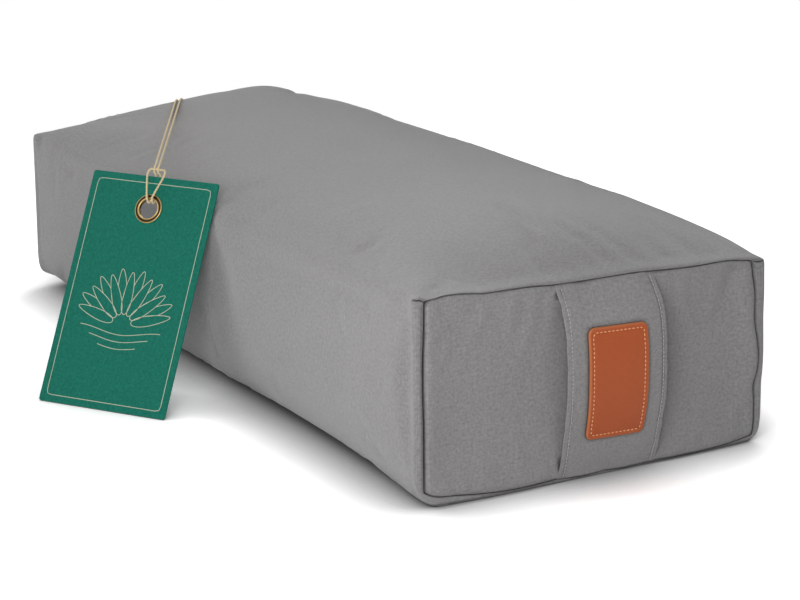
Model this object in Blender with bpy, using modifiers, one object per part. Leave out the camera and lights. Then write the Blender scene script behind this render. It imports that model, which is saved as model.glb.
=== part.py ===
"""A rectangular yoga bolster: a zipped cotton cover over an inner bag of spelt husks.

Metres, +Z up. The bolster stands on z = 0 with its length along Y. The end that carries
the leather patch is the near end, at -Y, and the cover's zip runs along the +X side.
The origin is on the floor under the middle of the body.
"""

import math

import bmesh
import bpy
from mathutils import Matrix, Vector

# Body of the filled cover, measured on its outer face
BODY_LENGTH = 0.700  # between the two end seams
BODY_WIDTH = 0.300  # across an end panel, seam to seam
END_HEIGHT = 0.146  # of an end panel, seam to seam
END_LIFT = 0.012  # the fill lifts the lower end seam off the floor by this
SIDE_SWELL = 0.006  # how far each long side stands outside its end seams
TOP_SWELL = 0.007  # the same for the long upper edges
CROWN = 0.030  # rise of the top's control points over its long edges
END_CORNER = 0.014  # corner radius of the section at an end seam
SIDE_CORNER = 0.034  # corner radius of the section along the body

# Cloth
COVER_CLOTH = 0.0012
BAG_CLOTH = 0.0008
GAP = 0.0003  # left between pieces that touch

# End panels and their seams
PANEL_SETBACK = 0.002  # the panel's rim lies this far inside the end of the wrap
PANEL_BULGE = 0.007
OVERLOCK_DEPTH = 0.009
OVERLOCK_THICKNESS = 0.0014

# Handles, one on each end panel
STRAP_WIDTH = 0.089
STRAP_THICKNESS = 0.0024
STRAP_BOW = 0.020
NEAR_STRAP_OFFSET = 0.010  # the near handle sits this far to the right of the middle
EDGE_STITCH_INSET = 0.0045
THREAD_RADIUS = 0.0004

# Leather patch on the near handle
PATCH_WIDTH = 0.051
PATCH_HEIGHT = 0.089
PATCH_THICKNESS = 0.0020
PATCH_CORNER = 0.005
PATCH_CENTRE_HEIGHT = 0.077
PATCH_STITCH_INSET = 0.0042

# Inner bag and fill: slack between the cover and the bag
BAG_SIDE_SLACK = 0.007
BAG_TOP_SLACK = 0.002
BAG_END_SLACK = 0.012
FILL_FAR_SLACK = 0.004  # room behind the inner zip

# Zips: both are the same coil zip, cut to two lengths
COVER_ZIP_MARGIN = 0.070  # from each end seam to the slit
COVER_ZIP_HEIGHT = 0.048
INNER_ZIP_LENGTH = 0.200
ZIP_SLOT = 0.013  # height of the slit in the cloth
TAPE_WIDTH = 0.0133
TAPE_THICKNESS = 0.0006
TAPE_OVERHANG = 0.010  # the tape runs past the slit by this at each end
COIL_WIDTH = 0.0026
COIL_HEIGHT = 0.0020
COIL_SPLIT = 0.0014  # between the two coils
SLIDER_LENGTH = 0.011
SLIDER_WIDTH = 0.010
SLIDER_PLATE = 0.0012
SLIDER_POST = 0.0025  # length of the wedge between the coils
FLANGE_THICKNESS = 0.0012
CROWN_WIDTH = 0.0020
CROWN_FOOT = 0.0010
CROWN_SPAN = 0.008  # over both feet
CROWN_HOLE = 0.0023  # clear height under the crown's bar
PULLER_BAR_RADIUS = 0.0006
PULLER_LIFT = 0.0010  # the bar's axis above the slider's top plate
PULLER_WINDOW = 0.0059
PULLER_SIDE = 0.0012
PULLER_LENGTH = 0.026
PULLER_WIDTH = 0.007
STOP_LENGTH = 0.0017

# Care label in the far end's lower seam
LABEL_WIDTH = 0.030
LABEL_LENGTH = 0.045
LABEL_THICKNESS = 0.0006
LABEL_CORNER_MARGIN = 0.025  # from the label to the body's edge seam

# Swing tag: a card that stands on the floor and leans on the long side
CARD_WIDTH = 0.120
CARD_HEIGHT = 0.200
CARD_THICKNESS = 0.0010
CARD_CORNER = 0.002
CARD_EYE = (-0.1900, 0.029, 0.150)  # centre of the card's eyelet
CARD_EYE_MARGIN = 0.028  # from the eyelet's centre to the card's upper edge
CARD_TURN = math.radians(34.0)  # of the lower edge away from the long side
EYELET_HOLE = 0.0085
EYELET_WALL = 0.0006
EYELET_FLANGE = 0.0125
TWINE_DIAMETER = 0.0020
TWINE_STEP = 0.026  # longest straight piece of the twine's route
KNOT_RADIUS = 0.0034  # of the knot that closes the twine's loop behind the far handle

HALF_LENGTH = BODY_LENGTH / 2
HALF_WIDTH = BODY_WIDTH / 2 + SIDE_SWELL
END_TOP = END_LIFT + END_HEIGHT
EDGE_TOP = END_TOP + TOP_SWELL
COVER_ZIP_LENGTH = BODY_LENGTH - 2 * COVER_ZIP_MARGIN
LABEL_OFFSET = BODY_WIDTH / 2 - LABEL_CORNER_MARGIN - LABEL_WIDTH

# How the section grows from an end seam to the middle: distance from the seam,
# share of the side and top swell still missing, share of the crown, corner radius
GROWTH = (
    (0.000, 1.0, 0.0, END_CORNER),
    (0.016, 0.0, 0.35, 0.75 * SIDE_CORNER),
    (0.060, 0.0, 0.75, SIDE_CORNER),
    (0.160, 0.0, 1.0, SIDE_CORNER),
)

COLUMNS = 7
ROWS = 5


def remove_startup_objects():
    for scene_object in list(bpy.data.objects):
        bpy.data.objects.remove(scene_object, do_unlink=True)


def collection(name):
    made = bpy.data.collections.new(name)
    bpy.context.scene.collection.children.link(made)
    return made


def linear(channel):
    """One sRGB channel from 0 to 255 as linear light."""
    value = channel / 255.0
    return value / 12.92 if value <= 0.04045 else ((value + 0.055) / 1.055) ** 2.4


def material(name, colour, roughness, metallic=0.0):
    made = bpy.data.materials.new(name)
    made.use_nodes = True
    shader = made.node_tree.nodes["Principled BSDF"]
    rgb = [linear(int(colour[i : i + 2], 16)) for i in (1, 3, 5)]
    shader.inputs["Base Color"].default_value = (*rgb, 1.0)
    shader.inputs["Roughness"].default_value = roughness
    shader.inputs["Metallic"].default_value = metallic
    made.diffuse_color = (*rgb, 1.0)
    return made


def add_part(name, mesh, parts, made_of, parent=None):
    made = bpy.data.objects.new(name, mesh)
    parts.objects.link(made)
    mesh.materials.clear()
    mesh.materials.append(made_of)
    if parent is not None:
        made.parent = parent
    return made


def mesh_from(name, shape):
    mesh = bpy.data.meshes.new(name)
    shape.to_mesh(mesh)
    shape.free()
    return mesh


def smooth(part, angle=35.0):
    part.data.shade_smooth()
    part.data.set_sharp_from_angle(angle=math.radians(angle))


def subdivide(part):
    modifier = part.modifiers.new("soft form", "SUBSURF")
    modifier.levels = 1
    modifier.render_levels = 1
    return modifier


def thicken(part, thickness):
    modifier = part.modifiers.new("cloth", "SOLIDIFY")
    modifier.thickness = thickness
    modifier.offset = -1.0
    modifier.use_even_offset = True
    return modifier


def cut(part, cutter):
    modifier = part.modifiers.new("slit", "BOOLEAN")
    modifier.operation = "DIFFERENCE"
    modifier.solver = "EXACT"
    modifier.object = cutter
    return modifier


def box_cutter(name, low, high, cutters):
    made = bpy.data.objects.new(name, mesh_from(name, block(low, high)))
    cutters.objects.link(made)
    made.hide_render = True
    made.display_type = "WIRE"
    return made


def block(low, high):
    """A box between two corners, as a bmesh."""
    shape = bmesh.new()
    size = [b - a for a, b in zip(low, high)]
    middle = [(a + b) / 2 for a, b in zip(low, high)]
    place = Matrix.Translation(middle) @ Matrix.Diagonal((*size, 1.0))
    bmesh.ops.create_cube(shape, size=1.0, matrix=place)
    return shape


# The loaf: one cage for the cover, the bag and the fill


def loaf_sections(side, bottom, top, end):
    """Cross-sections of a loaf that lies inside the cover's outer face by these depths."""
    sections = []
    for distance, missing, crown, corner in GROWTH:
        sections.append(
            {
                "y": -HALF_LENGTH + end + distance,
                "half_width": HALF_WIDTH - SIDE_SWELL * missing - side,
                "low": END_LIFT * missing + bottom,
                "high": EDGE_TOP - TOP_SWELL * missing - top,
                "crown": CROWN * crown,
                "corner": corner,
            }
        )
    middle = dict(sections[-1], y=0.0)
    mirrored = [dict(section, y=-section["y"]) for section in reversed(sections)]
    return [*sections, middle, *mirrored]


def section_point(section, column, row):
    """A control point of a section: columns run along X and rows up Z."""
    half = section["half_width"]
    corner = section["corner"]
    across = (-half, corner - half, -half / 2, 0.0, half / 2, half - corner, half)
    low, high = section["low"], section["high"]
    up = (low, low + corner, (low + high) / 2, high - corner, high)
    x = across[column]
    rise = section["crown"] * (1 - (x / half) ** 2) * row / (ROWS - 1)
    return Vector((x, section["y"], up[row] + rise))


def ring_cells():
    """The (column, row) places round a section's rim, anticlockwise seen from -Y."""
    last_column, last_row = COLUMNS - 1, ROWS - 1
    lower = [(column, 0) for column in range(COLUMNS)]
    right = [(last_column, row) for row in range(1, ROWS)]
    upper = [(column, last_row) for column in range(last_column - 1, -1, -1)]
    left = [(0, row) for row in range(last_row - 1, 0, -1)]
    return lower + right + upper + left


def add_end(shape, section, rim, bulge, outward):
    """Close a section with a grid of faces that bulges by its middle."""
    grid = dict(zip(ring_cells(), rim))
    for column in range(1, COLUMNS - 1):
        for row in range(1, ROWS - 1):
            place = section_point(dict(section, crown=0.0), column, row)
            share = (1 - (place.x / section["half_width"]) ** 2) * (1.0 if row == 2 else 0.25)
            place.y += outward * bulge * share
            grid[column, row] = shape.verts.new(place)
    for column in range(COLUMNS - 1):
        for row in range(ROWS - 1):
            corners = [
                grid[column, row],
                grid[column + 1, row],
                grid[column + 1, row + 1],
                grid[column, row + 1],
            ]
            shape.faces.new(corners if outward < 0 else list(reversed(corners)))


def loaf(sections, near_bulge=None, far_bulge=None):
    """A tube through the sections; an end with a bulge is closed, one with None is open."""
    shape = bmesh.new()
    cells = ring_cells()
    rims = [[shape.verts.new(section_point(s, *cell)) for cell in cells] for s in sections]
    for near, far in zip(rims, rims[1:]):
        for i in range(len(cells)):
            j = (i + 1) % len(cells)
            shape.faces.new((near[i], far[i], far[j], near[j]))
    if near_bulge is not None:
        add_end(shape, sections[0], rims[0], near_bulge, -1)
    if far_bulge is not None:
        add_end(shape, sections[-1], rims[-1], far_bulge, 1)
    return shape


def end_sheet(section, bulge, outward):
    """One end of a loaf by itself, as an open sheet."""
    shape = bmesh.new()
    rim = [shape.verts.new(section_point(section, *cell)) for cell in ring_cells()]
    add_end(shape, section, rim, bulge, outward)
    return shape


def make_cover(parts, cutters, canvas):
    wrap = add_part(
        "cover_wrap", mesh_from("cover_wrap", loaf(loaf_sections(0, 0, 0, 0))), parts, canvas
    )
    subdivide(wrap)
    thicken(wrap, COVER_CLOTH)
    slit_low = (HALF_WIDTH - 0.02, -COVER_ZIP_LENGTH / 2, COVER_ZIP_HEIGHT - ZIP_SLOT / 2)
    slit_high = (HALF_WIDTH + 0.02, COVER_ZIP_LENGTH / 2, COVER_ZIP_HEIGHT + ZIP_SLOT / 2)
    cut(wrap, box_cutter("cover_slit", slit_low, slit_high, cutters))
    smooth(wrap)
    rim_depth = COVER_CLOTH + GAP
    rim = loaf_sections(rim_depth, rim_depth, rim_depth, PANEL_SETBACK)[0]
    for name, outward in (("near_end_panel", -1), ("far_end_panel", 1)):
        section = dict(rim, y=rim["y"] * -outward)
        mesh = mesh_from(name, end_sheet(section, PANEL_BULGE, outward))
        panel = add_part(name, mesh, parts, canvas)
        subdivide(panel)
        thicken(panel, COVER_CLOTH)
        smooth(panel)


def make_overlock(parts, thread):
    """The overlocked seam allowance that lies inside the cover behind each end panel."""
    depth = COVER_CLOTH + GAP
    section = loaf_sections(depth, depth, depth, 0)[0]
    start = HALF_LENGTH - PANEL_SETBACK - COVER_CLOTH - GAP
    for name, outward in (("near_seam_overlock", -1), ("far_seam_overlock", 1)):
        ends = sorted((outward * start, outward * (start - OVERLOCK_DEPTH)))
        band = loaf([dict(section, y=y) for y in (ends[0], sum(ends) / 2, ends[1])])
        part = add_part(name, mesh_from(name, band), parts, thread)
        subdivide(part)
        thicken(part, OVERLOCK_THICKNESS)
        smooth(part)


def make_bag(parts, cutters, calico, husk):
    bottom = COVER_CLOTH + GAP
    top = COVER_CLOTH + BAG_TOP_SLACK
    sections = loaf_sections(BAG_SIDE_SLACK, bottom, top, BAG_END_SLACK)
    bag = add_part("inner_bag", mesh_from("inner_bag", loaf(sections, 0.0, 0.0)), parts, calico)
    subdivide(bag)
    thicken(bag, BAG_CLOTH)
    far = HALF_LENGTH - BAG_END_SLACK
    slit_low = (-INNER_ZIP_LENGTH / 2, far - 0.003, inner_zip_height() - ZIP_SLOT / 2)
    slit_high = (INNER_ZIP_LENGTH / 2, far + 0.003, inner_zip_height() + ZIP_SLOT / 2)
    cut(bag, box_cutter("bag_slit", slit_low, slit_high, cutters))
    smooth(bag)
    inside = BAG_CLOTH + GAP
    filling = loaf_sections(
        BAG_SIDE_SLACK + inside, bottom + inside, top + inside, BAG_END_SLACK + inside
    )
    filling[-1] = dict(filling[-1], y=filling[-1]["y"] - FILL_FAR_SLACK)
    fill = add_part("husk_fill", mesh_from("husk_fill", loaf(filling, 0.0, 0.0)), parts, husk)
    subdivide(fill)
    smooth(fill)


def inner_zip_height():
    return END_LIFT + END_HEIGHT / 2


# Handles and patch: plates that follow the bow of the strap


def bow(height):
    """How far the strap stands out of its ends' plane at a height."""
    low, high = strap_ends()
    share = (2 * height - low - high) / (high - low)
    return STRAP_BOW * (1 - share * share)


def strap_ends():
    inset = COVER_CLOTH + 2 * GAP
    return END_LIFT + inset, END_TOP - inset


def strap_back():
    """Distance from the middle of the body to the strap's back face at its ends."""
    return HALF_LENGTH - PANEL_SETBACK + GAP


def bowed_plate(width, thickness, low, high, centre, depth, outward, corner=0.0):
    """A plate in front of an end panel that follows the strap's bow."""
    near = depth if outward > 0 else -depth - thickness
    shape = block((centre - width / 2, near, low), (centre + width / 2, near + thickness, high))
    if corner:
        edges = [e for e in shape.edges if abs(e.verts[0].co.y - e.verts[1].co.y) > thickness / 2]
        bmesh.ops.bevel(shape, geom=edges, offset=corner, segments=4, affect="EDGES")
    slices = 12
    for i in range(1, slices):
        geometry = shape.verts[:] + shape.edges[:] + shape.faces[:]
        height = low + (high - low) * i / slices
        bmesh.ops.bisect_plane(
            shape, geom=geometry, plane_co=(0, 0, height), plane_no=(0, 0, 1), dist=1e-6
        )
    for vertex in shape.verts:
        vertex.co.y += outward * bow(vertex.co.z)
    return shape


def tube(name, points, radius, parts, made_of, cyclic=False, resolution=1):
    """A round bar along a list of points."""
    curve = bpy.data.curves.new(name, "CURVE")
    curve.dimensions = "3D"
    curve.bevel_depth = radius
    curve.bevel_resolution = resolution
    curve.use_fill_caps = not cyclic
    spline = curve.splines.new("POLY")
    spline.points.add(len(points) - 1)
    for point, place in zip(spline.points, points):
        point.co = (*place, 1.0)
    spline.use_cyclic_u = cyclic
    curve.materials.append(made_of)
    made = bpy.data.objects.new(name, curve)
    parts.objects.link(made)
    return made


def make_handle(prefix, centre, outward, parts, canvas, thread):
    low, high = strap_ends()
    plate = bowed_plate(
        STRAP_WIDTH, STRAP_THICKNESS, low, high, centre, strap_back(), outward
    )
    strap = add_part(f"{prefix}_handle_strap", mesh_from(prefix, plate), parts, canvas)
    smooth(strap)
    front = strap_back() + STRAP_THICKNESS + GAP + THREAD_RADIUS
    steps = 16
    for side, sign in (("left", -1), ("right", 1)):
        x = centre + sign * (STRAP_WIDTH / 2 - EDGE_STITCH_INSET)
        heights = [low + (high - low) * i / steps for i in range(steps + 1)]
        points = [(x, outward * (front + bow(z)), z) for z in heights]
        tube(f"{prefix}_handle_stitch_{side}", points, THREAD_RADIUS, parts, thread)


def rounded_rectangle(width, height, corner, steps=4):
    """Points round a rectangle with round corners, about its middle."""
    points = []
    for quarter, (sx, sy) in enumerate(((1, 1), (-1, 1), (-1, -1), (1, -1))):
        middle = (sx * (width / 2 - corner), sy * (height / 2 - corner))
        for i in range(steps + 1):
            angle = (quarter + i / steps) * math.pi / 2
            points.append(
                (middle[0] + corner * math.cos(angle), middle[1] + corner * math.sin(angle))
            )
    return points


def make_patch(parts, leather, thread):
    low = PATCH_CENTRE_HEIGHT - PATCH_HEIGHT / 2
    high = PATCH_CENTRE_HEIGHT + PATCH_HEIGHT / 2
    depth = strap_back() + STRAP_THICKNESS + GAP
    plate = bowed_plate(
        PATCH_WIDTH, PATCH_THICKNESS, low, high, NEAR_STRAP_OFFSET, depth, -1, PATCH_CORNER
    )
    patch = add_part("leather_patch", mesh_from("leather_patch", plate), parts, leather)
    smooth(patch)
    front = depth + PATCH_THICKNESS + GAP + THREAD_RADIUS
    inset = 2 * PATCH_STITCH_INSET
    outline = rounded_rectangle(
        PATCH_WIDTH - inset, PATCH_HEIGHT - inset, PATCH_CORNER - PATCH_STITCH_INSET / 2
    )
    points = []
    for x, z in spread_round(outline, 40):
        height = PATCH_CENTRE_HEIGHT + z
        points.append((NEAR_STRAP_OFFSET + x, -(front + bow(height)), height))
    tube("patch_stitching", points, THREAD_RADIUS, parts, thread, cyclic=True)


def spread_round(outline, count):
    """Points evenly spread round a closed outline."""
    closed = [Vector(p) for p in (*outline, outline[0])]
    lengths = [(b - a).length for a, b in zip(closed, closed[1:])]
    step = sum(lengths) / count
    points = []
    walked, leg = 0.0, 0
    for i in range(count):
        while walked + lengths[leg] < i * step:
            walked += lengths[leg]
            leg += 1
        share = (i * step - walked) / lengths[leg]
        points.append(closed[leg].lerp(closed[leg + 1], share))
    return points


# Zips: local X runs along the zip, local Y across it, local Z out of the cloth


def zip_block(name, low, high, parts, made_of, parent):
    return add_part(name, mesh_from(name, block(low, high)), parts, made_of, parent)


def join(part, pieces, cutters):
    """Union boxes into a part, one after another."""
    for i, (low, high) in enumerate(pieces):
        other = box_cutter(f"{part.name}_piece_{i}", low, high, cutters)
        other.parent = part.parent
        modifier = part.modifiers.new("joined", "BOOLEAN")
        modifier.operation = "UNION"
        modifier.solver = "EXACT"
        modifier.object = other


def make_zip(prefix, sides, length, cloth, frame, parts, cutters, tape_cloth, nylon, metal):
    """A closed zip in a slit: tapes, coils, stops, slider and puller."""
    base = bpy.data.objects.new(f"{prefix}_zip_frame", None)
    parts.objects.link(base)
    base.matrix_world = frame
    half = length / 2
    tape_front = -cloth - GAP
    tape_back = tape_front - TAPE_THICKNESS
    coil_low = tape_front + GAP
    coil_high = coil_low + COIL_HEIGHT
    inner = COIL_SPLIT / 2
    outer = inner + COIL_WIDTH
    reach = half + TAPE_OVERHANG
    coil_end = half - STOP_LENGTH - 2 * GAP
    for side, sign in zip(sides, (1, -1)):
        tape_edges = sorted((sign * inner, sign * (inner + TAPE_WIDTH)))
        zip_block(
            f"{prefix}_zip_tape_{side}",
            (-reach, tape_edges[0], tape_back),
            (reach, tape_edges[1], tape_front),
            parts,
            tape_cloth,
            base,
        )
        coil_edges = sorted((sign * inner, sign * outer))
        zip_block(
            f"{prefix}_zip_coil_{side}",
            (-coil_end, coil_edges[0], coil_low),
            (coil_end, coil_edges[1], coil_high),
            parts,
            nylon,
            base,
        )
    stop_start = coil_end + GAP
    stop_end = stop_start + STOP_LENGTH
    zip_block(
        f"{prefix}_zip_bottom_stop",
        (-stop_end, -outer, coil_low),
        (-stop_start, outer, coil_high),
        parts,
        metal,
        base,
    )
    for side, sign in zip(sides, (1, -1)):
        stop_edges = sorted((sign * inner, sign * outer))
        zip_block(
            f"{prefix}_zip_top_stop_{side}",
            (stop_start, stop_edges[0], coil_low),
            (stop_end, stop_edges[1], coil_high),
            parts,
            metal,
            base,
        )
    make_slider(prefix, coil_end, coil_high, tape_front, tape_back, base, parts, cutters, metal)


def make_slider(prefix, coil_end, coil_high, tape_front, tape_back, base, parts, cutters, metal):
    """The slider rides on the coils at the closed end, and its puller turns under the crown."""
    rider = bpy.data.objects.new(f"{prefix}_zip_slider_frame", None)
    parts.objects.link(rider)
    rider.parent = base
    rider.location = (coil_end - SLIDER_LENGTH / 2 - GAP, 0.0, 0.0)
    plate_low = coil_high + GAP
    plate_top = plate_low + SLIDER_PLATE
    back_top = tape_back - GAP
    back_low = back_top - SLIDER_PLATE
    long_half = SLIDER_LENGTH / 2
    wide_half = SLIDER_WIDTH / 2
    post_half = COIL_SPLIT / 2 - GAP
    flange = wide_half - FLANGE_THICKNESS
    slider = zip_block(
        f"{prefix}_zip_slider",
        (-long_half, -wide_half, plate_low),
        (long_half, wide_half, plate_top),
        parts,
        metal,
        rider,
    )
    crown_low = plate_top + CROWN_HOLE
    crown_half = CROWN_WIDTH / 2
    span_half = CROWN_SPAN / 2
    sink = GAP  # how far joined boxes run into each other
    pieces = [
        ((-long_half, -wide_half, back_low), (long_half, wide_half, back_top)),
        ((long_half - SLIDER_POST, -post_half, back_top - sink), (long_half, post_half, plate_low + sink)),
        ((-long_half, flange, tape_front + GAP), (long_half, wide_half, plate_low + sink)),
        ((-long_half, -wide_half, tape_front + GAP), (long_half, -flange, plate_low + sink)),
        ((-span_half, -crown_half, plate_top - sink), (CROWN_FOOT - span_half, crown_half, crown_low + sink)),
        ((span_half - CROWN_FOOT, -crown_half, plate_top - sink), (span_half, crown_half, crown_low + sink)),
        ((-span_half, -crown_half, crown_low), (span_half, crown_half, crown_low + CROWN_FOOT)),
    ]
    join(slider, pieces, cutters)
    hinge = bpy.data.objects.new(f"{prefix}_zip_puller_frame", None)
    parts.objects.link(hinge)
    hinge.parent = rider
    hinge.location = (0.0, 0.0, plate_top + PULLER_LIFT)
    puller_half = PULLER_WIDTH / 2
    window_half = puller_half - PULLER_SIDE
    thick_half = PULLER_BAR_RADIUS
    # The puller points back along the closed zip
    puller = zip_block(
        f"{prefix}_zip_puller",
        (-PULLER_LENGTH, -puller_half, -thick_half),
        (-PULLER_WINDOW, puller_half, thick_half),
        parts,
        metal,
        hinge,
    )
    join(
        puller,
        [
            ((-PULLER_WINDOW - sink, window_half, -thick_half), (thick_half, puller_half, thick_half)),
            ((-PULLER_WINDOW - sink, -puller_half, -thick_half), (thick_half, -window_half, thick_half)),
            ((-thick_half, -window_half - sink, -thick_half), (thick_half, window_half + sink, thick_half)),
        ],
        cutters,
    )


def make_label(parts, satin):
    """A blank care label that stands between the bag and the far end's lower seam."""
    near = HALF_LENGTH - BAG_END_SLACK + GAP
    low = END_LIFT + COVER_CLOTH + OVERLOCK_THICKNESS + 2 * GAP
    corner_low = (LABEL_OFFSET, near, low)
    corner_high = (LABEL_OFFSET + LABEL_WIDTH, near + LABEL_THICKNESS, low + LABEL_LENGTH)
    mesh = mesh_from("care_label", block(corner_low, corner_high))
    add_part("care_label", mesh, parts, satin)


# Swing tag


def card_frame():
    """The card's frame at the eyelet: X along its lower edge, Y up the card, Z to its face."""
    along = Vector((math.sin(CARD_TURN), -math.cos(CARD_TURN), 0.0))
    outward = Vector((-math.cos(CARD_TURN), -math.sin(CARD_TURN), 0.0))
    below = CARD_HEIGHT - CARD_EYE_MARGIN
    rise = (CARD_EYE[2] - GAP) / below
    run = math.sqrt(1 - rise * rise)
    up = Vector((0, 0, rise)) - outward * run
    face = along.cross(up)
    rotation = Matrix((along, up, face)).transposed().to_4x4()
    return Matrix.Translation(CARD_EYE) @ rotation


def flat_outline(name, outlines, thickness, parts, made_of, frame):
    """A flat sheet from closed outlines; the second one is a hole."""
    curve = bpy.data.curves.new(name, "CURVE")
    curve.dimensions = "2D"
    curve.fill_mode = "BOTH"
    curve.extrude = thickness / 2
    for outline in outlines:
        spline = curve.splines.new("POLY")
        spline.points.add(len(outline) - 1)
        for point, place in zip(spline.points, outline):
            point.co = (place[0], place[1], 0.0, 1.0)
        spline.use_cyclic_u = True
    curve.materials.append(made_of)
    made = bpy.data.objects.new(name, curve)
    parts.objects.link(made)
    made.matrix_world = frame
    return made


def circle(radius, count):
    turns = [2 * math.pi * i / count for i in range(count)]
    return [(radius * math.cos(turn), radius * math.sin(turn)) for turn in turns]


def turned(name, profile, parts, made_of, frame, steps=32):
    """A ring turned about the frame's Z axis; the profile's outer side runs down."""
    mesh = bpy.data.meshes.new(name)
    edges = [(i, (i + 1) % len(profile)) for i in range(len(profile))]
    mesh.from_pydata([(r, 0.0, z) for r, z in profile], edges, [])
    made = add_part(name, mesh, parts, made_of)
    made.matrix_world = frame
    modifier = made.modifiers.new("turned", "SCREW")
    modifier.steps = steps
    modifier.render_steps = steps
    modifier.use_merge_vertices = True
    modifier.merge_threshold = 0.00001
    modifier.use_smooth_shade = True
    return made


def make_tag(parts, card_stock, brass):
    frame = card_frame()
    wall_outer = EYELET_HOLE + EYELET_WALL
    centre_drop = CARD_EYE_MARGIN - CARD_HEIGHT / 2
    outline = [
        (x, y + centre_drop)
        for x, y in rounded_rectangle(CARD_WIDTH, CARD_HEIGHT, CARD_CORNER, steps=3)
    ]
    hole = circle(wall_outer + GAP, 32)
    flat_outline("tag_card", [outline, hole], CARD_THICKNESS, parts, card_stock, frame)
    front = CARD_THICKNESS / 2 + GAP
    plate = EYELET_WALL
    turned(
        "tag_eyelet",
        [
            (EYELET_FLANGE, front + plate / 2),
            (EYELET_FLANGE, front),
            (wall_outer, front),
            (wall_outer, -front - plate),
            (EYELET_HOLE, -front - plate),
            (EYELET_HOLE, front + 1.5 * plate),
            (wall_outer + plate, front + 2 * plate),
            (EYELET_FLANGE - plate, front + 1.5 * plate),
        ],
        parts,
        brass,
        frame,
    )
    turned(
        "tag_eyelet_washer",
        [
            (EYELET_FLANGE, -front),
            (EYELET_FLANGE, -front - plate),
            (wall_outer + GAP, -front - plate),
            (wall_outer + GAP, -front),
        ],
        parts,
        brass,
        frame,
    )


# The twine's loop at the card, in the card's frame: it comes down over the bar of the
# hitch, goes behind the card, through the eyelet and up its face to the bar's left end.
HITCH = (
    (-0.0018, 0.0385, 0.0030),
    (-0.0018, 0.0345, 0.0040),
    (-0.0019, 0.0310, 0.0022),
    (-0.0020, 0.0305, -0.0004),
    (-0.0021, 0.0266, -0.0032),
    (-0.0022, 0.0170, -0.0031),
    (-0.0022, 0.0102, -0.0035),
    (-0.0020, 0.0064, -0.0022),
    (-0.0020, 0.0055, 0.0006),
    (-0.0024, 0.0084, 0.0037),
    (-0.0042, 0.0150, 0.0036),
    (-0.0068, 0.0240, 0.0027),
    (-0.0080, 0.0305, 0.0020),
    (-0.0068, 0.0338, 0.0012),
    (-0.0040, 0.0342, 0.0010),
)

# One strand from the hitch over the top to the far seam, half way between the two
OVER_TOP = (
    (-0.1500, 0.0935, 0.1845),
    (-0.1150, 0.1540, 0.1855),
    (-0.0850, 0.2055, 0.1865),
    (-0.0600, 0.2485, 0.1870),
    (-0.0350, 0.2915, 0.1842),
    (-0.0180, 0.3210, 0.1790),
    (-0.0080, 0.3380, 0.1716),
    (-0.0040, 0.3485, 0.1636),
)

# From the far seam round the left edge of the far handle into the gap behind it
ROUND_HANDLE = (
    (-0.0100, 0.3540, 0.1575),
    (-0.0200, 0.3572, 0.1500),
    (-0.0340, 0.3610, 0.1420),
    (-0.0445, 0.3635, 0.1350),
    (-0.0487, 0.3620, 0.1305),
    (-0.0475, 0.3575, 0.1280),
    (-0.0400, 0.3555, 0.1270),
    (-0.0200, 0.3555, 0.1268),
    (-0.0038, 0.3555, 0.1268),
)


def smooth_route(points, step):
    """A smooth curve through the route's points, in pieces no longer than a step."""
    route = []
    padded = [points[0] * 2 - points[1], *points, points[-1] * 2 - points[-2]]
    for a, b, c, d in zip(padded, padded[1:], padded[2:], padded[3:]):
        pieces = math.ceil((c - b).length / step)
        for i in range(pieces):
            t = i / pieces
            bend = (2 * a - 5 * b + 4 * c - d) * t * t + (3 * b - 3 * c + d - a) * t * t * t
            route.append((2 * b + (c - a) * t + bend) / 2)
    return [*route, points[-1]]


def make_twine(parts, cotton):
    """One loop of twine: round the far handle, over the top and hitched in the eyelet."""
    frame = card_frame()
    beside = Vector((0.866, -0.5, 0.0)) * 1.1 * TWINE_DIAMETER
    left = [Vector(point) - beside for point in OVER_TOP]
    right = [Vector(point) + beside for point in OVER_TOP]
    left += [Vector(point) for point in ROUND_HANDLE]
    right += [Vector((-x, y, z)) for x, y, z in ROUND_HANDLE]
    hitch = [frame @ Vector(point) for point in HITCH]
    hitch += [frame @ Vector((-x, y, z)) for x, y, z in reversed(HITCH)]
    route = smooth_route([*reversed(left), *hitch, *right], TWINE_STEP)
    tube("tag_twine", route, TWINE_DIAMETER / 2, parts, cotton, resolution=2)
    knot = bmesh.new()
    bmesh.ops.create_icosphere(knot, subdivisions=2, radius=KNOT_RADIUS)
    last = Vector(ROUND_HANDLE[-1])
    knot_part = add_part("tag_twine_knot", mesh_from("tag_twine_knot", knot), parts, cotton)
    knot_part.location = (0.0, last.y, last.z)
    smooth(knot_part)


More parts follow.
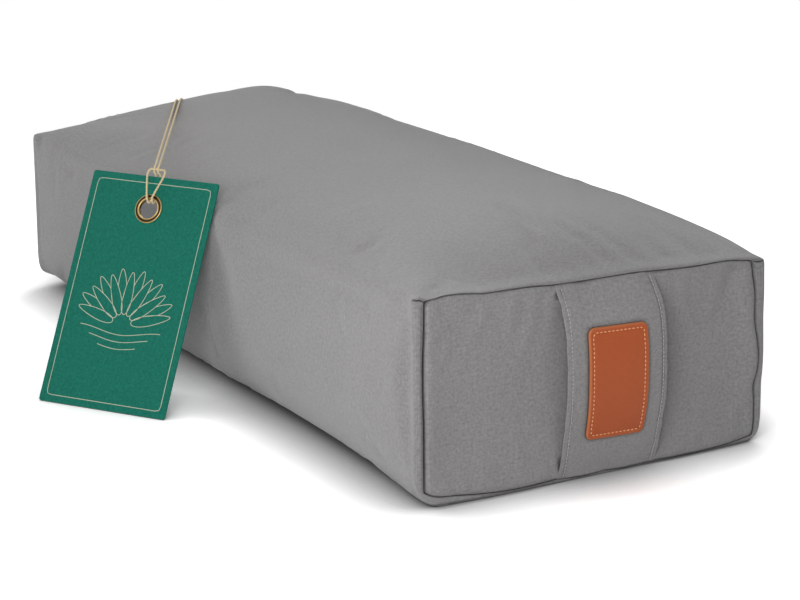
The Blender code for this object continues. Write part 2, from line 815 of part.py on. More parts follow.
def main():
    remove_startup_objects()
    parts = collection("yoga_bolster")
    cutters = collection("cutters")
    canvas = material("grey_canvas", "#8e8c8d", 0.95)
    thread = material("grey_thread", "#a8a5a3", 0.8)
    tan_leather = material("tan_leather", "#a65c3a", 0.55)
    orange_thread = material("orange_thread", "#e0935c", 0.7)
    calico = material("calico", "#e3dccb", 0.95)
    husk = material("spelt_husk", "#c9a56b", 0.9)
    tape_cloth = material("zip_tape", "#807e7f", 0.9)
    nylon = material("nylon_coil", "#7a7879", 0.45)
    metal = material("zip_metal", "#b4b2ae", 0.35, 1.0)
    satin = material("white_satin", "#efefec", 0.5)
    card_stock = material("green_card", "#2a7463", 0.9)
    brass = material("antique_brass", "#8f7346", 0.35, 1.0)
    cotton = material("cotton_twine", "#ecd9a8", 0.85)

    make_cover(parts, cutters, canvas)
    make_overlock(parts, thread)
    make_bag(parts, cutters, calico, husk)
    make_handle("near", NEAR_STRAP_OFFSET, -1, parts, canvas, thread)
    make_handle("far", 0.0, 1, parts, canvas, thread)
    make_patch(parts, tan_leather, orange_thread)
    make_label(parts, satin)
    cover_zip_frame = Matrix.Translation((HALF_WIDTH, 0.0, COVER_ZIP_HEIGHT)) @ Matrix(
        ((0, 0, 1, 0), (1, 0, 0, 0), (0, 1, 0, 0), (0, 0, 0, 1))
    )
    make_zip(
        "cover",
        ("upper", "lower"),
        COVER_ZIP_LENGTH,
        COVER_CLOTH,
        cover_zip_frame,
        parts,
        cutters,
        tape_cloth,
        nylon,
        metal,
    )
    bag_end = HALF_LENGTH - BAG_END_SLACK
    inner_zip_frame = Matrix.Translation((0.0, bag_end, inner_zip_height())) @ Matrix(
        ((-1, 0, 0, 0), (0, 0, 1, 0), (0, 1, 0, 0), (0, 0, 0, 1))
    )
    make_zip(
        "inner",
        ("upper", "lower"),
        INNER_ZIP_LENGTH,
        BAG_CLOTH,
        inner_zip_frame,
        parts,
        cutters,
        tape_cloth,
        nylon,
        metal,
    )
    make_tag(parts, card_stock, brass)
    make_twine(parts, cotton)


main()
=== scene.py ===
"""Looks of a rectangular yoga bolster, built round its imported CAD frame.

Metres, +Z up, in the frame's own axes. The body lies along Y: its near end, which carries
the leather patch, is at -Y, and the cover's zip runs along the +X side.
"""

import math

import bpy
import numpy as np
from mathutils import Matrix, Vector
from mathutils.bvhtree import BVHTree


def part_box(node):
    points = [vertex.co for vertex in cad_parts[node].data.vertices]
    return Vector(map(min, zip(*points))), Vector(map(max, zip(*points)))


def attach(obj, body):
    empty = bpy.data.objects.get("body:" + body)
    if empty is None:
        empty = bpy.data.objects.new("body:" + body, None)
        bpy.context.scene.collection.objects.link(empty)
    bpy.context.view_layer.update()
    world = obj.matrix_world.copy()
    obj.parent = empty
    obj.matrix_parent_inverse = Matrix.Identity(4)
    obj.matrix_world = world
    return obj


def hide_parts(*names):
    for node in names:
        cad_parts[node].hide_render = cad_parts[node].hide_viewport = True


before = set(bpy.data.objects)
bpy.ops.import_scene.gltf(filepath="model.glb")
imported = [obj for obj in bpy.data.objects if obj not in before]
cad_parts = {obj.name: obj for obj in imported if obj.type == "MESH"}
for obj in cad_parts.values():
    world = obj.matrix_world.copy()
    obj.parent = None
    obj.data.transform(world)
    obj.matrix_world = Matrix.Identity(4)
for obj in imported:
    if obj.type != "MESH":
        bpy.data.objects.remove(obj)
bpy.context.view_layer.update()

MM = 0.001

# Camera: the photograph's viewing angle
CAMERA_AZIMUTH = math.radians(-30.61)
CAMERA_ELEVATION = math.radians(16.43)
CAMERA_DISTANCE = 2.2672
CAMERA_TARGET = Vector((0.0348, 0.0, 0.0450))
FOCAL_PIXELS = 2593.0
FRAME_PIXELS = 800
SENSOR_WIDTH = 36.0


def make_camera():
    """A camera on a sphere round its target, without roll: the way back from the target is
    the azimuth's sine and cosine times the elevation's cosine, and the elevation's sine."""
    back = Vector(
        (
            math.sin(CAMERA_AZIMUTH) * math.cos(CAMERA_ELEVATION),
            -math.cos(CAMERA_AZIMUTH) * math.cos(CAMERA_ELEVATION),
            math.sin(CAMERA_ELEVATION),
        )
    )
    data = bpy.data.cameras.new("photo_camera")
    data.sensor_width = SENSOR_WIDTH
    data.lens = FOCAL_PIXELS * SENSOR_WIDTH / FRAME_PIXELS
    camera = bpy.data.objects.new("photo_camera", data)
    bpy.context.scene.collection.objects.link(camera)
    camera.location = CAMERA_TARGET + back * CAMERA_DISTANCE
    camera.rotation_euler = (-back).to_track_quat("-Z", "Y").to_euler()
    bpy.context.scene.camera = camera


make_camera()


# Mesh helpers
def mesh_piece(name, points, quads, coords=None, tone=None):
    """A smooth mesh object from arrays; coords are a UV per point or per corner, tone a
    number per point. Faces are turned outwards: the volume that they enclose is positive."""
    points = np.asarray(points, np.float32).reshape(-1, 3)
    quads = np.asarray(quads, np.int32)
    a, b, c, d = (points[quads[:, i]] for i in range(4))
    if np.einsum("ij,ij->i", a + b + c + d, np.cross(c - a, d - b)).sum() < 0:
        quads = quads[:, ::-1]
        if coords is not None and len(coords) != len(points):
            coords = np.asarray(coords).reshape(-1, 4, 2)[:, ::-1].reshape(-1, 2)
    sides = quads.shape[1]
    mesh = bpy.data.meshes.new(name)
    mesh.vertices.add(len(points))
    mesh.vertices.foreach_set("co", points.ravel())
    mesh.loops.add(quads.size)
    mesh.loops.foreach_set("vertex_index", quads.ravel())
    mesh.polygons.add(len(quads))
    mesh.polygons.foreach_set("loop_start", np.arange(0, quads.size, sides, dtype=np.int32))
    mesh.polygons.foreach_set("use_smooth", np.ones(len(quads), bool))
    mesh.update(calc_edges=True)
    if coords is not None:
        layer = mesh.uv_layers.new(name="cloth")
        flat = np.asarray(coords, np.float32)
        if len(flat) == len(points):
            flat = flat[quads.ravel()]
        layer.data.foreach_set("uv", flat.ravel())
    if tone is not None:
        layer = mesh.attributes.new("tone", "FLOAT", "POINT")
        layer.data.foreach_set("value", np.asarray(tone, np.float32).ravel())
    mesh.validate()
    piece = bpy.data.objects.new(name, mesh)
    bpy.context.scene.collection.objects.link(piece)
    return piece


def grid_quads(rows, columns, closed_rows=False, closed_columns=False):
    """Quads of a grid of points that is numbered row by row."""
    row = np.arange(rows if closed_rows else rows - 1)[:, None]
    column = np.arange(columns if closed_columns else columns - 1)[None]
    below = (row + 1) % rows * columns
    beside = (column + 1) % columns
    corners = (row * columns + column, row * columns + beside, below + beside, below + column)
    return np.stack(np.broadcast_arrays(*corners), -1).reshape(-1, 4)


def band(first, second):
    """Quads between two closed loops of point numbers."""
    return np.stack([first, np.roll(first, -1), np.roll(second, -1), second], -1)


def plate(front, back):
    """Points and quads of two grids of the same size, joined round their rims."""
    rows, columns = front.shape[:2]
    count = rows * columns
    edge = rim_of(np.arange(count).reshape(rows, columns))
    quads = grid_quads(rows, columns)
    quads = np.concatenate([quads, quads[:, ::-1] + count, band(edge + count, edge)])
    return np.concatenate([front.reshape(-1, 3), back.reshape(-1, 3)]), quads


def rim_of(grid):
    """The rim of a grid, anticlockwise from its first corner."""
    return np.concatenate([grid[0, :-1], grid[:-1, -1], grid[-1, :0:-1], grid[:0:-1, 0]])


def joined(parts):
    """One array of points and one of quads from a list of such pairs."""
    points, quads, total = [], [], 0
    for part_points, part_quads in parts:
        points.append(part_points.reshape(-1, 3))
        quads.append(part_quads + total)
        total += len(points[-1])
    return np.concatenate(points), np.concatenate(quads)


def finish_piece(piece, finish, slot, *nodes):
    """Gives a piece its material and hides the CAD nodes it stands for. All of the pieces
    that are made here ride on the bolster's own body."""
    piece.data.materials.append(finish)
    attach(piece, "bolster")
    if nodes:
        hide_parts(*nodes)
    return piece


def smooth_step(value):
    """Rises from 0 to 1 as 3v^2 - 2v^3."""
    value = np.clip(value, 0, 1)
    return value * value * (3 - 2 * value)


def quarter_round(distance, depth, power=2.0):
    """A quarter of an ellipse, or of a squarer one for a higher power: 0 at the seam, steep
    at first, 1 from the depth on."""
    share = np.clip(distance / depth, 0, 1)
    return (1 - (1 - share) ** power) ** (1 / power)


def unit(vectors):
    """Vectors scaled to a length of one."""
    return vectors / np.maximum(np.linalg.norm(vectors, axis=-1, keepdims=True), 1e-12)


def arc_length(path):
    """The length travelled along a path at each of its points."""
    return np.r_[0, np.cumsum(np.linalg.norm(np.diff(path, axis=0), axis=1))]


def points_along(path, length, at):
    """Places at given lengths along a path, straight between its points."""
    return np.stack([np.interp(at, length, column) for column in path.T], -1)


def circle(count):
    """The angles of a full turn in even steps."""
    return np.linspace(0, 2 * np.pi, count, endpoint=False)


def tube(path, across, upward, radius, sides):
    """Rings of a round section along a path: across by the cosine and upward by the sine."""
    angle = circle(sides)[:, None]
    section = across[..., None, :] * np.cos(angle) + upward[..., None, :] * np.sin(angle)
    return path[..., None, :] + section * radius


def smooth_table(table, at):
    """A smooth curve through a table of (place, value): Hermite pieces between its rows."""
    place, value = np.array(table, float).T
    slope = np.gradient(value, place)
    piece = np.clip(np.searchsorted(place, at) - 1, 0, len(place) - 2)
    span = place[piece + 1] - place[piece]
    t = np.clip((at - place[piece]) / span, 0, 1)
    ease = t * t * (3 - 2 * t)
    start, end = slope[piece] * span, slope[piece + 1] * span
    bend = start * (t - 2 * t**2 + t**3) + end * (t**3 - t**2)
    return value[piece] * (1 - ease) + value[piece + 1] * ease + bend


WAVES_PER_OCTAVE = 7
OCTAVE_FINER = 1.9
OCTAVE_WEAKER = 0.6


def waves(points, length, seed, octaves=2):
    """Seeded soft noise: a sum of sine waves in random directions, about -1 to 1. Each
    octave's waves are shorter and weaker than the last one's."""
    random = np.random.default_rng(seed)
    total = np.zeros(points.shape[:-1])
    size = 0.0
    for octave in range(octaves):
        turn = random.normal(size=(WAVES_PER_OCTAVE, points.shape[-1]))
        turn = unit(turn) * 2 * math.pi / (length / OCTAVE_FINER**octave)
        phase = random.uniform(0, 2 * math.pi, WAVES_PER_OCTAVE)
        share = OCTAVE_WEAKER**octave
        total += np.sin(points @ turn.T + phase).sum(-1) / math.sqrt(WAVES_PER_OCTAVE) * share
        size += share
    return total / size


# Materials
def srgb(code):
    """A hex colour turned to linear light."""
    channels = [int(code[i : i + 2], 16) / 255 for i in (1, 3, 5)]
    linear = [c / 12.92 if c <= 0.04045 else ((c + 0.055) / 1.055) ** 2.4 for c in channels]
    return (*linear, 1.0)


def add_node(tree, kind, settings=None, **inputs):
    """Adds a node. An input is named by i and its number, or by its name with _ for a space,
    and its value is a number, a colour or a socket to link from."""
    made = tree.nodes.new(kind)
    for key, value in (settings or {}).items():
        setattr(made, key, value)
    for key, value in inputs.items():
        name = int(key[1:]) if key[1:].isdigit() else key.replace("_", " ")
        socket = made.inputs[name]
        if isinstance(value, bpy.types.NodeSocket):
            tree.links.new(value, socket)
        else:
            socket.default_value = value
    return made


def calculated(tree, operation, *values):
    """The result of an operation on up to three numbers or sockets."""
    inputs = {f"i{place}": value for place, value in enumerate(values)}
    return add_node(tree, "ShaderNodeMath", {"operation": operation}, **inputs).outputs[0]


def blended(tree, share, first, second):
    """A colour that goes from the first to the second by a share."""
    settings = {"data_type": "RGBA"}
    return add_node(tree, "ShaderNodeMix", settings, i0=share, i6=first, i7=second).outputs["Result"]


def new_material(name):
    """An empty node material and its tree and output."""
    made = bpy.data.materials.new(name)
    made.use_nodes = True
    made.node_tree.nodes.clear()
    output = made.node_tree.nodes.new("ShaderNodeOutputMaterial")
    return made, made.node_tree, output


WAVE_PITCH = math.pi / 10  # scale times pitch of one band of a wave texture
THREAD_RUN = 0.12  # how drawn out the thick and thin places lie along a thread
CLOUD_SCALE = 16.0  # clouds of shade some 60 mm wide
# Share of each pattern in the cloth's shade, and the part of their sum that is shown
WEAVE_SHARE, SLUB_SHARE, MOTTLE_SHARE, CLOUD_SHARE = 0.30, 0.35, 0.90, 0.15
SHADE_LOW, SHADE_HIGH = 0.55, 1.55
SEAM_SHADE_REACH = 0.004  # how far off the next surface lies where a seam starts to shade
SEAM_SHADE_POWER = 2.0


def woven(name, dark, light, deep, pitch, bump, sheen, roughness=0.92, uses_uv=True):
    """Plain-weave cloth: two crossed sets of threads, thick and thin places along them, a
    fine mottle of fibres, and a soft sheen that lightens it at a grazing look. It goes over
    to the deep colour in seams and folds, where another surface lies close: painted shade."""
    made, tree, output = new_material(name)
    if uses_uv:
        place = add_node(tree, "ShaderNodeUVMap", {"uv_map": "cloth"}).outputs["UV"]
    else:
        place = add_node(tree, "ShaderNodeTexCoord").outputs["Object"]
    stretch = {"X": (1.0, THREAD_RUN, THREAD_RUN), "Y": (THREAD_RUN, 1.0, 1.0)}
    bands, slubs = [], []
    for axis, scale in stretch.items():
        along = add_node(tree, "ShaderNodeMapping", Vector=place, Scale=scale).outputs[0]
        stripe = add_node(
            tree,
            "ShaderNodeTexWave",
            {"bands_direction": axis},
            Vector=place,
            Scale=WAVE_PITCH / pitch,
            Distortion=1.2,
            Detail=2.0,
            Detail_Scale=1.5,
        )
        slub = add_node(tree, "ShaderNodeTexNoise", Vector=along, Scale=0.9 / pitch, Detail=2.0)
        bands.append(stripe.outputs["Fac"])
        slubs.append(slub.outputs["Fac"])
    weave = calculated(tree, "MAXIMUM", *bands)
    uneven = calculated(tree, "ADD", *slubs)
    mottle, cloud = (
        add_node(tree, "ShaderNodeTexNoise", Vector=place, Scale=scale, Detail=3.0).outputs["Fac"]
        for scale in (0.42 / pitch, CLOUD_SCALE)
    )
    shade = 0.0
    patterns = ((weave, WEAVE_SHARE), (uneven, SLUB_SHARE), (mottle, MOTTLE_SHARE), (cloud, CLOUD_SHARE))
    for source, share in patterns:
        shade = calculated(tree, "MULTIPLY_ADD", source, share, shade)
    ramp = add_node(tree, "ShaderNodeMapRange", Value=shade, From_Min=SHADE_LOW, From_Max=SHADE_HIGH)
    colour = blended(tree, ramp.outputs[0], srgb(dark), srgb(light))
    # Painted shade: where another surface lies within reach, as in seams and folds, the colour goes over to
    # the deep colour.
    open_air = add_node(tree, "ShaderNodeAmbientOcclusion", Distance=SEAM_SHADE_REACH).outputs["AO"]
    open_air = calculated(tree, "POWER", open_air, SEAM_SHADE_POWER)
    colour = blended(tree, open_air, srgb(deep), colour)
    height = calculated(tree, "MULTIPLY_ADD", uneven, 0.5, weave)
    height = calculated(tree, "ADD", mottle, height)
    relief = add_node(tree, "ShaderNodeBump", Strength=bump, Distance=0.5 * pitch, Height=height)
    shader = add_node(
        tree,
        "ShaderNodeBsdfPrincipled",
        Base_Color=colour,
        Roughness=roughness,
        Sheen_Weight=sheen,
        Sheen_Roughness=0.4,
        Specular_IOR_Level=0.15,
        Normal=relief.outputs[0],
    )
    tree.links.new(shader.outputs[0], output.inputs["Surface"])
    return made


def simple_surface(
    name, dark, light, size, roughness, metallic=0.0, bump=0.1, depth=0.2 * MM, sheen=0.0, shine=0.5, rim=None
):
    """A surface whose colour drifts between two tones, with a fine grain in relief. A rim
    colour is blended in by the piece's own tone attribute."""
    made, tree, output = new_material(name)
    place = add_node(tree, "ShaderNodeTexCoord").outputs["Object"]
    grain = add_node(tree, "ShaderNodeTexNoise", Vector=place, Scale=1 / size, Detail=4.0)
    colour = blended(tree, grain.outputs["Fac"], srgb(dark), srgb(light))
    if rim is not None:
        tone = add_node(tree, "ShaderNodeAttribute", {"attribute_name": "tone"}).outputs["Fac"]
        colour = blended(tree, tone, colour, srgb(rim))
    relief = add_node(tree, "ShaderNodeBump", Strength=bump, Distance=depth, Height=grain.outputs["Fac"])
    shader = add_node(
        tree,
        "ShaderNodeBsdfPrincipled",
        Base_Color=colour,
        Roughness=roughness,
        Metallic=metallic,
        Sheen_Weight=sheen,
        Specular_IOR_Level=shine,
        Normal=relief.outputs[0],
    )
    tree.links.new(shader.outputs[0], output.inputs["Surface"])
    return made


# Cotton canvas, plain woven and dyed grey: matt and faintly mottled. Its threads lie 0.45 mm
# apart, drawn here at 1.0 mm so that they show.
# Its third colour, #2c2b2b, is the painted shade of its seams and folds.
canvas = woven("grey_cotton_canvas", "#777576", "#afadad", "#2c2b2b", 1.0 * MM, 0.6, 0.5)
# Spun polyester thread, twisted: a little glossier and paler than the canvas.
canvas_thread = simple_surface("grey_polyester_thread", "#b4b3b3", "#d6d5d5", 1.2 * MM, 0.6)
# Split cowhide with a pressed and waxed face: even colour, fine grain, worn pale at its cut edge.
leather = simple_surface(
    "tan_split_leather",
    "#a54a1f",
    "#b5592c",
    1.1 * MM,
    0.48,
    bump=0.22,
    depth=0.3 * MM,
    shine=0.35,
    rim="#c67a4e",
)
# Waxed linen thread, dyed orange: satin, and lighter than the leather it holds.
orange_thread = simple_surface("orange_waxed_thread", "#e2945f", "#f6bb8c", 1.0 * MM, 0.5)
# Unbleached calico, plain woven: cream with darker seed flecks.
# Its third colour, #8f866f, is the painted shade of its seams and folds.
calico = woven("unbleached_calico", "#d3c8b0", "#eae2d0", "#8f866f", 0.9 * MM, 0.3, 0.1, uses_uv=False)
# Spelt husks, 6 mm flakes, lying in a heap: straw coloured and rough.
husks = simple_surface("spelt_husks", "#a0783f", "#dcc08a", 4.0 * MM, 0.8, bump=0.9, depth=2.0 * MM)
# Woven polyester tape: close ribs, matt.
zip_tape = simple_surface("woven_zip_tape", "#6b696a", "#7d7b7c", 0.8 * MM, 0.85, bump=0.4)
# Moulded nylon monofilament: smooth with a soft gloss.
nylon = simple_surface("moulded_nylon_coil", "#767475", "#868485", 2.0 * MM, 0.35)
# Die-cast zinc, tumbled and plated: grey and satin, with a few soft marks.
zip_metal = simple_surface("die_cast_zinc", "#8b8b8d", "#a9a9ac", 1.5 * MM, 0.32, metallic=1.0)
# Satin ribbon: white, with the gloss of its floating threads.
satin = simple_surface("white_satin_label", "#e6e6e4", "#f2f2f0", 1.0 * MM, 0.4)
# Felt-marked card, dyed through: matt, softly pitted, paler where it is cut.
card_stock = simple_surface(
    "felt_marked_card", "#145d4f", "#2a8975", 2.2 * MM, 0.9, bump=1.0, depth=0.8 * MM, shine=0.1
)
# Cream ink, screen printed: matt and a little broken by the card's pits.
cream_ink = simple_surface("cream_screen_ink", "#c9cdb4", "#e6e4cf", 0.7 * MM, 0.85, shine=0.1)
# Brass, pressed and blackened, rubbed bright on its raised edges.
brass = simple_surface(
    "antique_brass", "#a08656", "#c9ad74", 1.6 * MM, 0.3, metallic=1.0, rim="#33261b"
)
# Cotton twine, two plies: matt cream with a faint fuzz.
twine_cotton = simple_surface("cream_cotton_twine", "#dcc089", "#f8eac4", 0.7 * MM, 0.85, sheen=0.3)

CAD_FINISH = {
    "tag_card": card_stock,
    "cover_zip_tape_lower": zip_tape,
    "cover_zip_tape_upper": zip_tape,
    "inner_zip_tape_lower": zip_tape,
    "inner_zip_tape_upper": zip_tape,
}
for part in ("slider", "puller", "bottom_stop", "top_stop_upper", "top_stop_lower"):
    CAD_FINISH[f"cover_zip_{part}"] = zip_metal
    CAD_FINISH[f"inner_zip_{part}"] = zip_metal
for node_name, finish in CAD_FINISH.items():
    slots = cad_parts[node_name].data.materials
    slots.clear()
    slots.append(finish)


# Frame of the card that leans at the left side
CARD_EYE = Vector((-0.1900, 0.029, 0.150))
CARD_TURN = math.radians(34.0)
CARD_WIDTH = 0.120
CARD_HEIGHT = 0.200
CARD_THICKNESS = 0.0010
CARD_EYE_MARGIN = 0.028
CARD_FOOT_GAP = 0.0003  # between its lower edge and the floor


def card_frame():
    """The card's frame at its eyelet: X along the lower edge, Y up the card, Z to its face."""
    along = Vector((math.sin(CARD_TURN), -math.cos(CARD_TURN), 0.0))
    outward = Vector((-math.cos(CARD_TURN), -math.sin(CARD_TURN), 0.0))
    rise = (CARD_EYE.z - CARD_FOOT_GAP) / (CARD_HEIGHT - CARD_EYE_MARGIN)
    up = Vector((0, 0, rise)) - outward * math.sqrt(1 - rise * rise)
    rotation = Matrix((along, up, along.cross(up))).transposed().to_4x4()
    return Matrix.Translation(CARD_EYE) @ rotation


# Padded cover
HALF_LENGTH = 0.350  # half the body's length, seam to seam
HALF_PANEL = 0.150  # half the width of an end panel, seam to seam
PANEL_FOOT = 0.012  # height of its lower seam
PANEL_HEIGHT = 0.146
SEAM_FACET = 0.0095  # width of the wrap's strip that turns round to the end seam
SEAM_SWELL = 0.0045  # how much further the wrap swells along the body
SWELL_DEPTH = 0.045  # and over what length from the end seam it does
SEAM_NOSE = 0.0036  # how far from the seam the strip has turned
NOSE_POWER = 3.0
WAIST = 0.0064  # how far the long sides pull in between the ends, by 1 - t^4
NEAR_TOP, FAR_TOP = 0.158, 0.1428  # height of the upper long edges at each end
NEAR_LIFT, FAR_LIFT = 0.0158, 0.0105  # height of the lower end seams over the floor
LIFT_DEPTH = 0.020
TOP_SWELL = 0.0010
CROWN = 0.0334  # how much higher the middle of the top stands than its long edges
CROWN_POWER = (1.86, 2.50)  # near and far: how flat the crown is across the width
CROWN_LEAN = (-0.027, 0.203)  # near and far: how much it leans to the right
NEAR_CROWN_DEPTH = 0.127  # length over which the crown grows from each end
NEAR_CROWN_POWER = 2.2
FAR_CROWN_DEPTH = 0.0576
# How round a section's corners are: at the end seams, and once they have grown
END_CORNER = 0.0022
TOP_CORNER = 0.0104
BOTTOM_CORNER = 0.0570
LEFT_ROUND = 0.018  # how much rounder the upper left edge is in the middle of the body
BOTTOM_SPREAD = 0.008  # the same of its lower edges
CORNER_DEPTH = 0.0163  # length over which the corners grow
CORNER_FADE = 0.140  # length over which the crooked seams' pull dies out

COLUMNS = (96, 48, 96, 48)  # points along the bottom, right, top and left of a section
KNOTS = (0, 6, 10, 16, 20)  # control points at the section's corners


def section_controls(y, slack=0.0):
    """Twenty control points (x, z) of the section at each y, anticlockwise seen from -Y.

    The half width, the heights of the long edges and the crown grow from the end seams as
    quarter ellipses. The crown is 1 - |x/half|^power across the width, and leans a little.
    The upper left edge grows rounder towards the middle of the body by 1 - t^2, with t the
    place along it from -1 to 1.
    """
    distance = HALF_LENGTH - np.abs(y)
    t = y / HALF_LENGTH
    share = (1 + t) / 2
    nose = quarter_round(distance, SEAM_NOSE, NOSE_POWER)
    half = HALF_PANEL + SEAM_FACET * nose + SEAM_SWELL * smooth_step(distance / SWELL_DEPTH)
    half = half - WAIST * (1 - t**4)
    lift = np.where(t < 0, NEAR_LIFT, FAR_LIFT)
    low = lift * (1 - quarter_round(distance, LIFT_DEPTH))
    high = NEAR_TOP + (FAR_TOP - NEAR_TOP) * share**2
    high = high + TOP_SWELL * nose
    near_growth = 1 - (1 - np.clip(distance / NEAR_CROWN_DEPTH, 0, 1)) ** NEAR_CROWN_POWER
    crown = CROWN * np.where(t > 0, quarter_round(distance, FAR_CROWN_DEPTH), near_growth)
    ease = smooth_step(share)
    power = CROWN_POWER[0] + (CROWN_POWER[1] - CROWN_POWER[0]) * ease
    lean = CROWN_LEAN[0] + (CROWN_LEAN[1] - CROWN_LEAN[0]) * ease
    grown = quarter_round(distance, CORNER_DEPTH)
    top = END_CORNER + (TOP_CORNER - END_CORNER) * grown
    bottom = END_CORNER + (BOTTOM_CORNER - END_CORNER) * grown + BOTTOM_SPREAD * (1 - t**2)
    left_top = top + LEFT_ROUND * (1 - t**2)
    half = half - slack
    low, high = low + slack, high - slack
    middle = (low + high) / 2
    none = 0 * half
    lower = [(x, low, 0) for x in (-half, bottom - half, -half / 2, none, half / 2, half - bottom)]
    right = [(half, low, 0), (half, low + bottom, 1), (half, middle, 2), (half, high - top, 3)]
    upper = [(x, high, 4) for x in (half, half - top, half / 2, none, -half / 2, left_top - half)]
    left = [(-half, high, 4), (-half, high - left_top, 3), (-half, middle, 2)]
    left_foot = [(-half, low + bottom, 1)]
    ring = []
    for x, z, row in lower + right + upper + left + left_foot:
        across = x / half
        rise = crown * (1 - np.abs(across) ** power) * (1 + lean * across) * row / 4
        ring.append(np.stack((x, z + rise), -1))
    return np.stack(ring, 1)


def closed_spline(controls, places):
    """Closed uniform cubic B-spline of each row of control points at each row of places."""
    whole = np.floor(places).astype(int)
    t = places - whole
    weights = ((1 - t) ** 3, 3 * t**3 - 6 * t**2 + 4, 1 + 3 * t + 3 * t**2 - 3 * t**3, t**3)
    near = (whole[..., None] + np.arange(-1, 3)) % controls.shape[1]
    picked = controls[np.arange(len(controls))[:, None, None], near]
    return np.einsum("rck,rckd->rcd", np.stack(weights, -1) / 6, picked)


def even_places(controls, columns):
    """Spline places that divide each side of each section evenly by its length."""
    fine = np.linspace(0, KNOTS[-1], KNOTS[-1] * 12 + 1)
    dense = closed_spline(controls, np.broadcast_to(fine, (len(controls), len(fine))))
    length = np.cumsum(np.linalg.norm(np.diff(dense, axis=1), axis=-1), axis=1)
    length = np.concatenate([np.zeros((len(controls), 1)), length], 1)
    rows = []
    for travelled in length:
        marks = np.interp(KNOTS, fine, travelled)
        wanted = [
            np.linspace(start, end, count, endpoint=False)
            for start, end, count in zip(marks, marks[1:], columns)
        ]
        rows.append(np.interp(np.concatenate(wanted), travelled, fine))
    return np.array(rows)


# How the sewn end seams stray from straight: (place along the seam, offset), in mm
NEAR_SEAM_TOP = (
    (-170, 3.2),
    (-149, 3.2),
    (-142, 4.5),
    (-131, 4.6),
    (-122, 4.2),
    (-112, 3.2),
    (-102, 1.7),
    (-88, 1.2),
    (-72, 1.0),
    (-57, 0.7),
    (-39, -0.8),
    (-7, -1.6),
    (48, -2.6),
    (68, -3.9),
    (93, -5.1),
    (132, -5.8),
    (144, -7.4),
    (152, -8.6),
    (160, -10.4),
    (170, -11.0),
)
NEAR_SEAM_BOTTOM = (
    (-170, 0.5),
    (-152, -1.0),
    (-142, -5.8),
    (-124, -8.4),
    (-102, -11.4),
    (-79, -13.4),
    (-36, -13.8),
    (8, -14.6),
    (58, -14.9),
    (100, -14.6),
    (130, -13.0),
    (149, -10.4),
    (170, -9.6),
)
NEAR_SEAM_RIGHT = (
    (0, -0.6),
    (6, -0.6),
    (13, 0.1),
    (29, 1.3),
    (45, 0.5),
    (59, -0.2),
    (66, 2.2),
    (80, 3.6),
    (92, 2.1),
    (109, -1.6),
    (135, -2.9),
    (151, -6.2),
    (170, -6.6),
)
NEAR_SEAM_LEFT = ((0, -2.3), (56, -2.8), (116, -3.9), (140, -3.1), (170, -3.2))
FAR_SEAM_TOP = (
    (-162, 4.3),
    (-110, 2.2),
    (-50, -3.0),
    (20, 0.0),
    (80, 8.2),
    (120, -3.0),
    (162, -1.1),
)
FAR_SEAM_BOTTOM = ((-162, 3.4), (-130, 3.2), (-60, -7.0), (0, -8.0), (80, -7.0), (162, 3.0))
NOSE_HOLD = 0.8  # how much less the side seams' offsets move the cloth past the seam's nose

# Fold of spare cloth that stands out at the near end's upper left corner
EAR = 0.0030
EAR_LENGTH = 0.030
EAR_FOOT, EAR_RISE = 0.10, 0.05  # the height it starts at, and over which it grows
EAR_GAP, EAR_STEP = 0.0005, 0.0025  # the same outwards, from the seam's plane
EAR_SPREAD = 0.5  # how much it leans out, as a share of its rise
EAR_DIP = 0.4  # depth, as a share of the ear, of the dip in the top seam beside it
EAR_DIP_PLACE = 0.009
EAR_DIP_WIDTH = 0.005


def seam_pull(grid):
    """Moves the ends of the body with their crooked seams: a point moves by the blend of the
    four seams' offsets, which dies out along the body as a square. The ear is added to it,
    with a bell-shaped dip beside it, and dies out in the same way over its own length."""
    x, y, z = grid[..., 0], grid[..., 1], grid[..., 2]
    across = np.clip((x / HALF_PANEL + 1) / 2, 0, 1)
    upward = np.clip((z - PANEL_FOOT) / PANEL_HEIGHT, 0, 1)
    near = np.clip(1 - (HALF_LENGTH + y) / CORNER_FADE, 0, 1) ** 2
    far = np.clip(1 - (HALF_LENGTH - y) / CORNER_FADE, 0, 1) ** 2
    xm, zm = x / MM, z / MM
    near_rise = upward * smooth_table(NEAR_SEAM_TOP, xm)
    near_rise += (1 - upward) * smooth_table(NEAR_SEAM_BOTTOM, xm)
    far_rise = upward * smooth_table(FAR_SEAM_TOP, xm)
    far_rise += (1 - upward) * smooth_table(FAR_SEAM_BOTTOM, xm)
    near_side = across * smooth_table(NEAR_SEAM_RIGHT, zm)
    near_side += (1 - across) * smooth_table(NEAR_SEAM_LEFT, zm)
    moved = grid.copy()
    moved[..., 2] = np.maximum(z + (near * near_rise + far * far_rise) * MM, 0.0)
    turned = quarter_round(HALF_LENGTH + y, SEAM_NOSE, NOSE_POWER)
    moved[..., 0] += near**2 * near_side * (1 - NOSE_HOLD * turned) * MM
    fold = np.clip(1 - (HALF_LENGTH + y) / EAR_LENGTH, 0, 1) ** 2
    fold *= smooth_step((z - EAR_FOOT) / EAR_RISE)
    outside = smooth_step((-x - HALF_PANEL - EAR_GAP) / EAR_STEP)
    dip = np.exp(-(((x + HALF_PANEL - EAR_DIP_PLACE) / EAR_DIP_WIDTH) ** 2))
    moved[..., 2] += EAR * fold * (outside - EAR_DIP * dip)
    moved[..., 0] -= EAR_SPREAD * EAR * fold * outside
    return moved


FIRST_STEP = 0.3  # the first step past the nose, as a share of the last one


